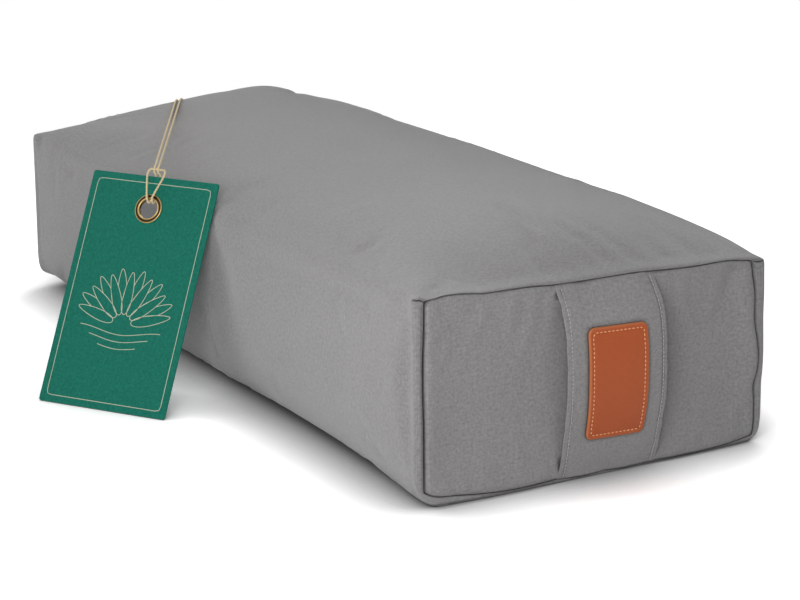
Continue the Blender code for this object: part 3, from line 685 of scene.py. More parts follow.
def row_places(count, nose_rows):
    """Places along the body: by even angles round the seam's nose, then in growing steps."""
    turn = np.linspace(0, np.pi / 2, nose_rows)
    nose = SEAM_NOSE * (1 - np.cos(turn) ** (2 / NOSE_POWER))
    step = np.linspace(FIRST_STEP, 1.0, count)
    rest = SEAM_NOSE + np.cumsum(step) / step.sum() * (HALF_LENGTH - SEAM_NOSE)
    near = np.r_[nose, rest]
    return np.r_[near - HALF_LENGTH, (HALF_LENGTH - near[:-1])[::-1]]


ZIP_FACE = 0.1572  # the cloth round the slit lies in this plane
ZIP_BACK = 0.1560  # what is behind the zip stays this side of it, less the slack
ZIP_TAPE = 0.1548
ZIP_LOW, ZIP_HIGH = 0.0415, 0.0545
ZIP_MIDDLE = (ZIP_LOW + ZIP_HIGH) / 2
ZIP_HALF_LENGTH = 0.280
ZIP_DRAW_HEIGHT = 0.016
ZIP_DRAW_FADE = 0.030
RIGHT_SIDE = 0.1  # what has a larger x is the body's right side


def zip_channel(grid, face):
    """Draws the right side to the plane of the zip that is sewn into it: the pull is a bell
    across the zip's height and fades out past its ends."""
    x, y, z = grid[..., 0], grid[..., 1], grid[..., 2]
    bell = np.exp(-(((z - ZIP_MIDDLE) / ZIP_DRAW_HEIGHT) ** 4))
    ends = smooth_step((ZIP_HALF_LENGTH + ZIP_DRAW_FADE - np.abs(y)) / ZIP_DRAW_FADE)
    drawn = grid.copy()
    drawn[..., 0] += np.where(x > RIGHT_SIDE, bell * ends * (face - x), 0)
    return drawn


def soften(field, rounds, closed):
    """Evens out a grid of vectors: each round is a 1-2-1 mean along both of its axes."""
    for _ in range(rounds):
        padded = np.concatenate([field[:1], field, field[-1:]])
        field = (padded[:-2] + 2 * padded[1:-1] + padded[2:]) / 4
        if closed:
            before, after = np.roll(field, 1, 1), np.roll(field, -1, 1)
        else:
            before = np.concatenate([field[:, :1], field[:, :-1]], 1)
            after = np.concatenate([field[:, 1:], field[:, -1:]], 1)
        field = (before + 2 * field + after) / 4
    return field


CARD_FADE = 0.050  # the card's hold fades out over this width beside it
CARD_REACH = 0.012  # it is full to this depth behind the card, and gone at twice the depth


def held_by_card(grid):
    """1 where the leaning card holds the cloth, fading out beyond its sides and behind it."""
    turned = np.array(card_frame())
    local = (grid - turned[:3, 3]) @ turned[:3, :3]
    beyond = np.maximum(np.abs(local[..., 0]) - CARD_WIDTH / 2, 0)
    return smooth_step(1 - beyond / CARD_FADE) * smooth_step(2 + local[..., 2] / CARD_REACH)


def body_grid(y, slack=0.0, columns=COLUMNS):
    """The body's outer surface, or one inside it by the slack: a row of points per y."""
    controls = section_controls(y, slack)
    section = closed_spline(controls, even_places(controls, columns))
    length = np.broadcast_to(y[:, None], section.shape[:2])
    grid = np.stack([section[..., 0], length, np.maximum(section[..., 1], slack)], -1)
    return zip_channel(seam_pull(grid), ZIP_FACE if slack == 0 else ZIP_BACK - slack)


def coons(ring, columns, rows):
    """A grid of points spanned between the four sides of a ring, by the Coons formula:
    the two straight blends of opposite sides, less the blend of the four corners."""
    bottom = ring[: columns + 1]
    right = ring[columns : columns + rows + 1]
    top = ring[columns + rows : 2 * columns + rows + 1][::-1]
    left = np.concatenate([ring[2 * columns + rows :], ring[:1]])[::-1]
    u = np.linspace(0, 1, columns + 1)[None, :, None]
    v = np.linspace(0, 1, rows + 1)[:, None, None]
    sides = (1 - v) * bottom[None] + v * top[None] + (1 - u) * left[:, None] + u * right[:, None]
    corners = (1 - u) * (1 - v) * bottom[0] + u * (1 - v) * bottom[-1]
    corners = corners + (1 - u) * v * top[0] + u * v * top[-1]
    return sides - corners


STRAP_WIDTH = 0.089
STRAP_THICKNESS = 0.0024
STRAP_FOOT = 0.0010  # thickness of the strap's ends in the seams
STRAP_STAND = 0.0178  # how far it stands off the panel's plane at most
NEAR_STRAP_LOW_X, NEAR_STRAP_HIGH_X = 0.0097, 0.0039  # middle of the strap at each seam
# How the strap stands off the panel: (share of the way up, share of the full stand)
STRAP_PROFILE = (
    (0, 0.02),
    (0.10, 0.34),
    (0.22, 0.60),
    (0.38, 0.90),
    (0.53, 1.0),
    (0.68, 1.0),
    (0.86, 0.74),
    (0.94, 0.38),
    (1, 0.02),
)
PANEL_RIM_DEPTH = 0.0022  # how deep the panel's rim is turned in
PANEL_ROLL = 0.0026  # radius of that turn
PANEL_BULGE = 0.0040
HANDLE_MIDDLE, HANDLE_SPREAD = 0.006, 0.052  # the part of a panel that lies under its strap
HANDLE_FLAT = 0.75  # how much less the panel stands out there
FOLD_TOP = 7  # a soft fold is full this far below the seam, in mm
# Soft folds that hang from the panel's upper seam: x at the seam, x 100 mm lower, half width,
# depth (inwards) and how far down they reach, in mm
PANEL_FOLDS = (
    (128, 92, 9.0, 3.2, 62),
    (139, 136, 6.0, -1.6, 70),
    (66, 78, 6.0, 1.4, 45),
    (-52, -60, 7.0, 1.5, 50),
    (-78, -84, 5.0, -1.0, 46),
    (-112, -104, 7.0, 1.3, 40),
    (-138, -140, 3.0, 0.9, 22),
)


def panel_folds(x, z, top):
    """How far the folds move the panel inwards: bells across lines that slant down from the
    seam, full a little below it and dying out at their reach."""
    drop = (top - z) / MM
    total = 0 * x
    for start, lower, width, depth, reach in PANEL_FOLDS:
        line = start + (lower - start) * drop / 100
        spread = width * (0.7 + 0.8 * drop / reach)
        bell = np.exp(-(((x / MM - line) / spread) ** 2))
        total += depth * MM * bell * smooth_step(drop / FOLD_TOP) * smooth_step(1.25 - drop / reach)
    return total


def under_handle(x):
    """1 where the handle covers a panel and 0 beside it: a flat-topped bell of the width."""
    return np.exp(-(((x - HANDLE_MIDDLE) / HANDLE_SPREAD) ** 4))


def panel_grid(ring, outward, columns=COLUMNS):
    """An end panel inside its seam: it rolls out of the seam as a quarter circle and stands
    out by (1 - u^2)(1 - v^4), less under the handle, and folds hang from its top."""
    grid = coons(ring, columns[0], columns[1])
    u = np.linspace(-1, 1, columns[0] + 1)[None]
    v = np.linspace(-1, 1, columns[1] + 1)[:, None]
    edge = np.minimum((1 - np.abs(u)) * HALF_PANEL, (1 - np.abs(v)) * PANEL_HEIGHT / 2)
    handle = under_handle(grid[..., 0])
    roll = PANEL_RIM_DEPTH * quarter_round(edge, PANEL_ROLL) - PANEL_RIM_DEPTH
    bulge = PANEL_BULGE * (1 - u**2) * (1 - v**4) * (1 - HANDLE_FLAT * handle)
    folds = panel_folds(grid[..., 0], grid[..., 2], grid[-1:, :, 2])
    grid[..., 1] += outward * (roll + bulge - folds)
    return grid


def closed_form(grid, columns, panels=False):
    """Points and quads of a tube closed at each end by a spanned grid, or by an end panel,
    and for each end the numbers of its grid's points."""
    rows, ring = grid.shape[:2]
    pieces = [grid.reshape(-1, 3)]
    quads = [grid_quads(rows, ring, closed_columns=True)]
    ends = []
    for row, outward in ((0, -1), (rows - 1, 1)):
        if panels:
            sheet = panel_grid(grid[row], outward, columns)
        else:
            sheet = coons(grid[row], columns[0], columns[1])
        numbers = np.full(sheet.shape[:2], -1)
        place = np.arange(numbers.size).reshape(numbers.shape)
        numbers.ravel()[rim_of(place)] = row * ring + np.arange(ring)
        inside = numbers < 0
        numbers[inside] = sum(map(len, pieces)) + np.arange(inside.sum())
        faces = numbers.ravel()[grid_quads(*numbers.shape)]
        quads.append(faces if outward < 0 else faces[:, ::-1])
        pieces.append(sheet[inside])
        ends.append(numbers)
    return np.concatenate(pieces), np.concatenate(quads), ends


# Cloth simulation of the cover
SIM_COLUMNS = (48, 24, 48, 24)
SIM_ROWS = 112
SIM_FRAMES = 20
SIM_CAP = 0.0034  # no point moves further than this
SIM_EVEN_ROUNDS = 60  # rounds of softening that leave the even swelling alone
SLACK_SHARE = -0.006  # the cloth is cut this much larger than the form it covers
ON_FLOOR = 0.0015  # cloth below this height stays where it lies
ZIP_HOLD = (0.140, 0.010, 0.290)  # the zip holds the cloth: x from, half height, half length
WRINKLE_FADE = 0.016  # the wrap's wrinkles fade out over this length at its end seams


def resample(field, rows_at, columns_at, closed):
    """Catmull-Rom interpolation of a grid of vectors at fractional rows and columns."""
    for axis, at, wraps in ((0, rows_at, False), (1, columns_at, closed)):
        lines = np.moveaxis(field, axis, 0)
        whole = np.floor(at).astype(int)
        t = at - whole
        weights = np.stack(
            [
                -t + 2 * t**2 - t**3,
                2 - 5 * t**2 + 3 * t**3,
                t + 4 * t**2 - 3 * t**3,
                t**3 - t**2,
            ],
            -1,
        )
        near = whole[:, None] + np.arange(-1, 3)
        near = near % len(lines) if wraps else np.clip(near, 0, len(lines) - 1)
        field = np.moveaxis(np.einsum("nk,nk...->n...", weights / 2, lines[near]), 0, axis)
    return field


def simulate_cover():
    """Inflates the sewn cover with cloth that is cut a little too large, so that it wrinkles
    where its seams hold it. Returns how far each point of the wrap's grid and of the two
    end panels' grids moves; the even swelling, which the form already has, is taken off."""
    y = np.linspace(-HALF_LENGTH, HALF_LENGTH, SIM_ROWS)
    grid = body_grid(y, 0.0, SIM_COLUMNS)
    points, quads, ends = closed_form(grid, SIM_COLUMNS, panels=True)
    form = mesh_piece("cover_form", points, quads)
    x, z = points[:, 0], points[:, 2]
    from_x, half_height, half_length = ZIP_HOLD
    held = z < ON_FLOOR
    held[: grid.shape[1]] = True
    held[(SIM_ROWS - 1) * grid.shape[1] : SIM_ROWS * grid.shape[1]] = True
    at_zip = (np.abs(z - ZIP_MIDDLE) < half_height) & (np.abs(points[:, 1]) < half_length)
    held |= at_zip & (x > from_x)
    group = form.vertex_groups.new(name="sewn")
    group.add(np.flatnonzero(held).tolist(), 1.0, "REPLACE")
    cloth = form.modifiers.new("cloth", "CLOTH")
    settings = cloth.settings
    settings.vertex_group_mass = "sewn"
    settings.quality = 6
    settings.mass = 0.15
    settings.tension_stiffness = settings.compression_stiffness = 18
    settings.shear_stiffness = 6
    settings.bending_stiffness = 0.08
    settings.shrink_min = settings.shrink_max = SLACK_SHARE
    settings.use_pressure = True
    settings.uniform_pressure_force = 4
    settings.effector_weights.gravity = 0
    cloth.collision_settings.use_collision = False
    cloth.point_cache.frame_end = SIM_FRAMES
    scene = bpy.context.scene
    for frame_number in range(1, SIM_FRAMES + 1):
        scene.frame_set(frame_number)
    shaped = form.evaluated_get(bpy.context.evaluated_depsgraph_get()).data
    moved = np.empty(len(points) * 3, np.float32)
    shaped.vertices.foreach_get("co", moved)
    scene.frame_set(1)
    bpy.data.objects.remove(form)
    moved = moved.reshape(-1, 3).astype(float) - points
    fields = [(moved[: grid.shape[0] * grid.shape[1]].reshape(grid.shape), True)]
    fields += [(moved[numbers], False) for numbers in ends]
    result = []
    for field, closed in fields:
        field = field - soften(field, SIM_EVEN_ROUNDS, closed)
        size = np.linalg.norm(field, axis=-1, keepdims=True)
        result.append(field * np.minimum(1, SIM_CAP / np.maximum(size, 1e-9)))
    return result


WRAP_ROWS, NOSE_ROWS = 92, 8  # rows of the wrap from its end seam to its middle, and round its nose
wrap_rows = row_places(WRAP_ROWS, NOSE_ROWS)
wrap_grid = body_grid(wrap_rows)
near_ring, far_ring = wrap_grid[0].copy(), wrap_grid[-1].copy()
wrap_moves, near_moves, far_moves = simulate_cover()
rows_at = (wrap_rows + HALF_LENGTH) / (2 * HALF_LENGTH) * (SIM_ROWS - 1)
columns_at = np.arange(sum(COLUMNS)) / sum(COLUMNS) * sum(SIM_COLUMNS)
free = smooth_step((HALF_LENGTH - np.abs(wrap_rows)) / WRINKLE_FADE)[:, None, None]
free = free * (1 - held_by_card(wrap_grid))[..., None]
wrap_grid = wrap_grid + resample(wrap_moves, rows_at, columns_at, True) * free
wrap_grid[..., 2] = np.maximum(wrap_grid[..., 2], 0.0)
across_at = np.arange(COLUMNS[0] + 1) / COLUMNS[0] * SIM_COLUMNS[0]
upward_at = np.arange(COLUMNS[1] + 1) / COLUMNS[1] * SIM_COLUMNS[1]
panel_moves = [resample(moves, upward_at, across_at, False) for moves in (near_moves, far_moves)]


def lip_rows(ring, centre, outward, insets):
    """Rows that turn a rim inward: each is the ring moved to its centre and into the body."""
    towards = unit(centre - ring)
    rows = []
    for inset, depth in insets:
        row = ring + towards * inset
        row[:, 1] -= outward * depth
        rows.append(row)
    return np.stack(rows)


SEAM_SLOT = 0.0012  # width of the gap between wrap and panel
HANDLE_CALM = 0.7  # how much weaker a panel's wrinkles are under the handle


def cloth_piece(name, node, points, quads, coords):
    """A mesh of the cover's canvas that rides on the bolster and stands for a CAD node."""
    piece = finish_piece(mesh_piece(name, points, quads, coords), canvas, "grey_canvas", node)


# How turned-in rims run on: (further inwards, deeper into the body) from the seam or slit
WRAP_RIM = ((0.1 * MM, 0.5 * MM), (0.2 * MM, 1.4 * MM), (0.2 * MM, 8.0 * MM))
SLIT_RIM = ((0.5 * MM, 0.4 * MM), (0.7 * MM, 1.2 * MM), (0.7 * MM, ZIP_FACE - ZIP_TAPE))
PANEL_RIM = ((0.1 * MM, 1.0 * MM), (0.2 * MM, 6.0 * MM))


def make_wrap():
    """The long cloth round the body. Rows that turn inwards are added at both rims, the
    quads between the zip's two lines are left out, and the slit's rim is turned in too. The
    UV map holds the metres round the body and along it."""
    near_lip = lip_rows(near_ring, near_ring.mean(0), -1, WRAP_RIM)[::-1]
    far_lip = lip_rows(far_ring, far_ring.mean(0), 1, WRAP_RIM)
    grid = np.concatenate([near_lip, wrap_grid, far_lip])
    rows, columns = grid.shape[:2]
    side = np.arange(COLUMNS[0], COLUMNS[0] + COLUMNS[1])
    middle_row = grid[rows // 2]
    low = side[np.argmin(np.abs(middle_row[side, 2] - ZIP_LOW))]
    high = side[np.argmin(np.abs(middle_row[side, 2] - ZIP_HIGH))]
    inside = np.flatnonzero(np.abs(grid[:, 0, 1]) <= ZIP_HALF_LENGTH)
    first, last = inside[0], inside[-1]
    grid[first : last + 1, low, 2] = ZIP_LOW
    grid[first : last + 1, high, 2] = ZIP_HIGH
    grid[first, low : high + 1, 1] = -ZIP_HALF_LENGTH
    grid[last, low : high + 1, 1] = ZIP_HALF_LENGTH
    numbers = np.arange(rows * columns).reshape(rows, columns)
    slit = rim_of(numbers[first : last + 1, low : high + 1])
    points = grid.reshape(-1, 3)
    centre = points[slit].mean(0)
    lips = []
    for inset, depth in SLIT_RIM:
        lip = points[slit].copy()
        at_end = np.abs(np.abs(lip[:, 1]) - ZIP_HALF_LENGTH) < 1e-6
        lip[:, 1] -= np.where(at_end, np.sign(lip[:, 1]), 0) * inset
        lip[:, 2] += np.sign(centre[2] - lip[:, 2]) * inset
        lip[:, 0] -= depth
        lips.append(lip)
    step = np.arange(len(slit))
    loops = [slit] + [len(points) + i * len(slit) + step for i in range(len(lips))]
    quads = grid_quads(rows, columns, closed_columns=True)
    row_index, column_index = np.divmod(quads[:, 0], columns)
    cut = (row_index >= first) & (row_index < last) & (column_index >= low) & (column_index < high)
    quads = np.concatenate([quads[~cut], *map(band, loops, loops[1:])])
    points = np.concatenate([points, *lips])
    girth = arc_length(np.concatenate([middle_row, middle_row[:1]]))
    along = arc_length(grid[:, 0])
    body = quads.max(1) < rows * columns
    row_index, column_index = np.divmod(quads[body], columns)
    column_index[:, 1:3][column_index[:, 1:3] < column_index[:, :1]] = columns
    coords = np.stack([girth[column_index], along[row_index]], -1)
    lip_coords = points[quads[~body]][..., [2, 1]] + (girth[low] - ZIP_LOW, along[rows // 2])
    coords = np.concatenate([coords, lip_coords]).reshape(-1, 2)
    cloth_piece("wrap_cloth", "cover_wrap", points, quads, coords)


def make_panel(name, ring, outward, node, moves):
    """An end panel with its wrinkles, which are weaker under the handle, and a rim that
    turns into the body. Its UV map is the view from its own end."""
    rim = ring + unit(ring.mean(0) - ring) * SEAM_SLOT
    grid = panel_grid(rim, outward)
    grid = grid + moves * (1 - HANDLE_CALM * under_handle(grid[..., 0]))[..., None]
    flat = grid.reshape(-1, 3)
    rows, columns = grid.shape[:2]
    edge = rim_of(np.arange(rows * columns).reshape(rows, columns))
    lip = lip_rows(flat[edge], flat[edge].mean(0), outward, PANEL_RIM)
    step = np.arange(len(edge))
    loops = [edge] + [len(flat) + i * len(edge) + step for i in range(len(lip))]
    quads = np.concatenate([grid_quads(rows, columns), *map(band, loops[1:], loops)])
    points = np.concatenate([flat, lip.reshape(-1, 3)])
    cloth_piece(name, node, points, quads, points[:, [0, 2]])


make_wrap()
make_panel("near_panel_cloth", near_ring, -1, "near_end_panel", panel_moves[0])
make_panel("far_panel_cloth", far_ring, 1, "far_end_panel", panel_moves[1])


OVERLOCK_RIPPLE = 0.25 * MM
OVERLOCK_MIDDLE = 2.7  # inset of its middle, in mm
# Section of the overlocked band: (inset from the seam, depth into the body), in mm
OVERLOCK_SECTION = (
    (2.0, 7.0),
    (2.0, 11.5),
    (2.0, 16.0),
    (2.7, 16.4),
    (3.4, 16.0),
    (3.4, 11.5),
    (3.4, 7.0),
    (2.7, 6.6),
)


def make_overlock(name, ring, outward, node):
    """The overlocked seam allowance behind a panel: a flat band carried round the seam,
    rippled by its looping threads, one ripple every second point."""
    towards = unit(ring.mean(0) - ring)
    ripple = OVERLOCK_RIPPLE * (np.arange(len(ring)) % 2)
    rows = []
    for inset, depth in OVERLOCK_SECTION:
        side = 1 if inset > OVERLOCK_MIDDLE else -1
        row = ring + towards * (inset * MM + ripple * side)[:, None]
        row[:, 1] -= outward * depth * MM
        rows.append(row)
    quads = grid_quads(len(rows), len(ring), closed_rows=True, closed_columns=True)
    finish_piece(mesh_piece(name, np.stack(rows), quads), canvas_thread, "grey_thread", node)


make_overlock("near_overlock_threads", near_ring, -1, "near_seam_overlock")
make_overlock("far_overlock_threads", far_ring, 1, "far_seam_overlock")


BODY_HEART = (0, 0, 0.08)  # outwards is away from here
FOLD_LENGTH = 0.0125
FOLD_STEPS = 21
FOLD_SOURCE_ROWS = 24  # the wrap's rows, from its end, that the fold's path is taken from
FOLD_SOURCE_STEP = 3  # columns from the corner's edge to the one that says where down is
# Section of the folded corner: (outwards, up) from its edge, in mm
FOLD_SECTION = (
    (-2.5, -0.3),
    (-1.2, 0.25),
    (0.2, 0.4),
    (1.1, 0.1),
    (1.2, -0.5),
    (0.05, -0.5),
    (0.05, -1.75),
    (1.5, -1.9),
    (1.7, -2.5),
    (1.1, -4.8),
    (-0.4, -8.5),
    (-1.6, -8.5),
    (-2.4, -4.0),
)


def make_corner_folds():
    """The spare cloth at the near end's two upper corners, folded to a pleat: a section of an
    upper and a lower lip is carried along the corner's edge, and its size is the square root
    of a sine arch, so that it is closed at both of its ends."""
    share = np.linspace(0, 1, FOLD_STEPS)
    size = np.clip(np.sin(np.pi * share), 0, 1)[:, None] ** 0.5 * MM
    right_corner, left_corner = COLUMNS[0] + COLUMNS[1], 2 * COLUMNS[0] + COLUMNS[1]
    quads = grid_quads(FOLD_STEPS, len(FOLD_SECTION), closed_columns=True)
    folds = []
    for column, beside in ((right_corner, -FOLD_SOURCE_STEP), (left_corner, FOLD_SOURCE_STEP)):
        edge = wrap_grid[:FOLD_SOURCE_ROWS, column]
        below = wrap_grid[:FOLD_SOURCE_ROWS, column + beside]
        step = arc_length(edge)
        path = points_along(edge, step, share * FOLD_LENGTH)
        down = unit(points_along(below - edge, step, share * FOLD_LENGTH))
        out = unit(np.cross(down, np.gradient(path, axis=0)))
        out *= np.sign((out * (path - BODY_HEART)).sum(-1, keepdims=True))
        rings = [path + (out * outwards - down * up) * size for outwards, up in FOLD_SECTION]
        folds.append((np.stack(rings, 1), quads))
    points, quads = joined(folds)
    piece = mesh_piece("corner_folds", points, quads, points[:, (0, 2)])
    finish_piece(piece, canvas, "grey_canvas")


make_corner_folds()


INNER_ROWS = 81
INNER_CROWDING = 1.6  # how much closer the rows lie towards the ends


def make_inner_form(name, node, slot, finish, slack, ends, roughen):
    """A closed crowned form inside the cover: the body's own surface drawn in by a slack and
    cut at the ends, its faces puckered inwards by waves; roughen is their length and depth."""
    y = np.linspace(-1, 1, INNER_ROWS)
    y = np.sign(y) * (1 - (1 - np.abs(y)) ** INNER_CROWDING)
    y = (ends[1] - ends[0]) / 2 * y + (ends[1] + ends[0]) / 2
    grid = body_grid(y, slack)
    points, quads, _ = closed_form(grid, COLUMNS)
    rough = np.abs(waves(points, roughen[0], 11, 3)) * roughen[1]
    points = points - unit(points * (1, 0.3, 1) - BODY_HEART) * rough[:, None]
    piece = finish_piece(mesh_piece(name, points, quads), finish, slot, node)


make_inner_form(
    "inner_bag_cloth",
    "inner_bag",
    "calico",
    calico,
    slack=0.0065,
    ends=(-0.332, 0.3355),
    roughen=(0.03, 0.0012),
)
make_inner_form(
    "spelt_husk_heap",
    "husk_fill",
    "spelt_husk",
    husks,
    slack=0.0085,
    ends=(-0.329, 0.329),
    roughen=(0.008, 0.0010),
)


# Handle straps
def seam_height(ring, top):
    """The top or bottom seam of an end as a table: x and height, from left to right."""
    if top:
        part = ring[COLUMNS[0] + COLUMNS[1] : 2 * COLUMNS[0] + COLUMNS[1] + 1][::-1]
    else:
        part = ring[: COLUMNS[0] + 1]
    return part[:, 0], part[:, 2]


STRAP_SINK = 0.0012  # how far inside the seam's plane the back of the strap starts
STRAP_ROLL = 0.75 * math.pi  # phase of the S across the strap at its edge
STRAP_SEAM_INSET = 0.0045  # of its edge stitching
STRAP_SEAM_WIDTH = 0.0011
STRAP_SEAM_DEPTH = 0.17  # how deep the stitching draws the cloth in, as a share of it
STRAP_ROWS, STRAP_COLUMNS = 110, 100
STRAP_FOLD_POWER, STRAP_FACE_POWER = 0.35, 0.6  # how square and how flat its section is
STRAP_END_FADE = 0.16  # share of its height over which its seams' creases fade out
STRAP_END_TUCK = 0.006  # how far its ends run on into the seams
STRAP_UV_SHIFT = (0.4, 0.003)  # so that its weave doesn't run on from the panel's


def strap_face(strap, across, share):
    """A point on the strap's outer face. Across is 0 in its middle and +-1 at its edges;
    share is 0 at the lower seam and 1 at the upper one. The stand-off follows a table up
    the strap, times a gentle S across it."""
    low_x, high_x, lean, outward, ring = strap
    x = low_x + (high_x - low_x) * share + across * STRAP_WIDTH / 2
    low = np.interp(x, *seam_height(ring, False)) + SEAM_SLOT / 2
    high = np.interp(x, *seam_height(ring, True)) - SEAM_SLOT / 2
    z = low + (high - low) * share
    stand = STRAP_STAND * smooth_table(STRAP_PROFILE, share)
    stand = stand * (1 + lean * np.sin(STRAP_ROLL * across))
    y = HALF_LENGTH - STRAP_SINK + stand + STRAP_THICKNESS
    return np.stack(np.broadcast_arrays(x, outward * y, z), -1)


# Straps: x of the middle at the lower and the upper seam, size of the S, side, end's seam
NEAR_STRAP = (NEAR_STRAP_LOW_X, NEAR_STRAP_HIGH_X, 0.12, -1, near_ring)
FAR_STRAP = (0.0, 0.0, 0.0, 1, far_ring)


def make_strap(name, strap, node, seed):
    """A folded band: a superellipse for a section, thinner at its sewn ends and drawn in
    along its stitching, carried up from seam to seam; it bows out, and waves soften it."""
    outward = strap[3]
    share = np.linspace(0, 1, STRAP_ROWS)[:, None]
    around = circle(STRAP_COLUMNS)[None]
    flatten = np.sign(np.cos(around)) * np.abs(np.cos(around)) ** STRAP_FOLD_POWER
    thick = np.sign(np.sin(around)) * np.abs(np.sin(around)) ** STRAP_FACE_POWER
    face = strap_face(strap, flatten, share)
    ends = np.exp(-share / STRAP_END_FADE) + np.exp(-(1 - share) / STRAP_END_FADE)
    place = face * (1, 0, 0.35)
    creases = waves(place, 30 * MM, seed) * 1.1 * MM * ends
    soft = creases + waves(place, 50 * MM, seed + 1) * 0.4 * MM
    from_edge = (1 - np.abs(flatten)) * STRAP_WIDTH / 2
    sewn = np.exp(-(((from_edge - STRAP_SEAM_INSET) / STRAP_SEAM_WIDTH) ** 2))
    body = STRAP_FOOT + (STRAP_THICKNESS - STRAP_FOOT) * np.minimum(share, 1 - share) * 12
    body = np.minimum(body, STRAP_THICKNESS)
    inward = STRAP_THICKNESS - body * (0.5 + thick * (0.5 - STRAP_SEAM_DEPTH * sewn)) + soft
    face[..., 1] -= outward * inward
    edge = waves(face[..., 2:] * np.ones(3), 40 * MM, seed + 2) * 0.6 * MM
    face[..., 0] += edge * np.sign(flatten) * (1 - ends)
    first, last = face[:1].copy(), face[-1:].copy()
    first[..., 1] -= outward * STRAP_END_TUCK
    last[..., 1] -= outward * STRAP_END_TUCK
    face = np.concatenate([first, face, last])
    quads = grid_quads(face.shape[0], face.shape[1], closed_columns=True)
    points = face.reshape(-1, 3)
    cloth_piece(name, node, points, quads, points[:, [0, 2]] + STRAP_UV_SHIFT)


make_strap("near_strap_cloth", NEAR_STRAP, "near_handle_strap", 3)
make_strap("far_strap_cloth", FAR_STRAP, "far_handle_strap", 4)


# Seams sewn by hand and machine
STITCH_RINGS, STITCH_SIDES = 7, 6
STITCH_SINK = 0.3 * MM  # the strap's stitches are drawn this far into the cloth
STITCH_TIP = 0.35  # thickness of a stitch's ends, as a share of its middle's
# Kinds of stitches: pitch, length, radius of the thread, and rise over the cloth
STRAP_STITCH = (3.1 * MM, 2.2 * MM, 0.36 * MM, 0.25 * MM)
PATCH_STITCH = (3.4 * MM, 2.3 * MM, 0.52 * MM, 0.30 * MM)
ZIP_STITCH = (3.0 * MM, 2.2 * MM, 0.34 * MM, 0.22 * MM)
STRAP_SEAM_ENDS = (0.012, 0.988)  # where the strap's stitching starts and stops
STRAP_SEAM_STEPS = 140


def stitch_row(path, normals, pitch, length, radius, rise):
    """Points and quads of short stitches along a path: each is a few rings of thread that
    come up out of the cloth as a sine arch and go down again, thinner at both ends."""
    step = arc_length(path)
    count = int(step[-1] // pitch)
    start = (np.arange(count) + 0.5) * step[-1] / count - length / 2
    share = np.linspace(0, 1, STITCH_RINGS)
    at = start[:, None] + share * length
    spine = points_along(path, step, at)
    normal = points_along(normals, step, at)
    tangent = unit(np.gradient(spine, axis=1))
    side = unit(np.cross(tangent, normal))
    spine = spine + normal * ((np.sin(np.pi * share) * rise - radius * 0.5)[:, None])
    thick = radius * (STITCH_TIP + (1 - STITCH_TIP) * np.sin(np.pi * share) ** 0.5)
    points = tube(spine, side, normal, thick[:, None, None], STITCH_SIDES)
    one = grid_quads(STITCH_RINGS, STITCH_SIDES, closed_columns=True)
    first = np.arange(count)[:, None, None] * STITCH_RINGS * STITCH_SIDES
    return points.reshape(-1, 3), (one + first).reshape(-1, 4)


def make_stitches(name, rows, node, slot, finish):
    """One piece of many stitches; rows are results of stitch_row."""
    finish_piece(mesh_piece(name, *joined(rows)), finish, slot, *([node] if node else []))


def strap_seam(strap, side):
    """The line of an edge seam on a strap's face, and its normals."""
    share = np.linspace(*STRAP_SEAM_ENDS, STRAP_SEAM_STEPS)
    path = strap_face(strap, side * (1 - STRAP_SEAM_INSET / (STRAP_WIDTH / 2)), share)
    normals = np.cross(np.gradient(path, axis=0), (1.0, 0.0, 0.0))
    normals = unit(normals) * np.sign(normals[:, 1:2] * strap[3])
    return path - normals * STITCH_SINK, normals


for prefix, strap in (("near", NEAR_STRAP), ("far", FAR_STRAP)):
    for word, side in (("left", -1), ("right", 1)):
        path, normals = strap_seam(strap, side)
        row = stitch_row(path, normals, *STRAP_STITCH)
        stitch_node = f"{prefix}_handle_stitch_{word}"
        make_stitches(
            f"{prefix}_strap_{word}_stitches", [row], stitch_node, "grey_thread", canvas_thread
        )


# Leather patch
PATCH_WIDTH, PATCH_HEIGHT = 0.051, 0.089
PATCH_THICKNESS = 0.0020
PATCH_CORNER = 0.0055
PATCH_SHARE = 0.500  # height of its middle between the seams
PATCH_ACROSS = -0.010  # place of its middle across the strap, as a share of half its width
PATCH_RISE = 0.152  # height between the seams where the patch is
PATCH_LIFT = 0.0005  # of its back off the strap's face
PATCH_ROUND_WIDTH, PATCH_ROUND_DEPTH = 0.0014, 0.0009  # of its upper edge
PATCH_STITCH_INSET = 0.0037
PATCH_GROOVE_WIDTH, PATCH_GROOVE_DEPTH = 0.0008, 0.0006  # of the channel under its stitches
PATCH_WEAR = 0.0011  # how far its edge is worn pale
PATCH_EDGE_TONE, PATCH_BACK_TONE = 0.75, 0.9  # how pale its edge and its raw back are
PATCH_STITCH_SINK = 0.4 * MM  # how deep its stitches start under its face
PATCH_GRID = (60, 104)
CORNER_STEPS = 24  # pieces of each round corner's arc


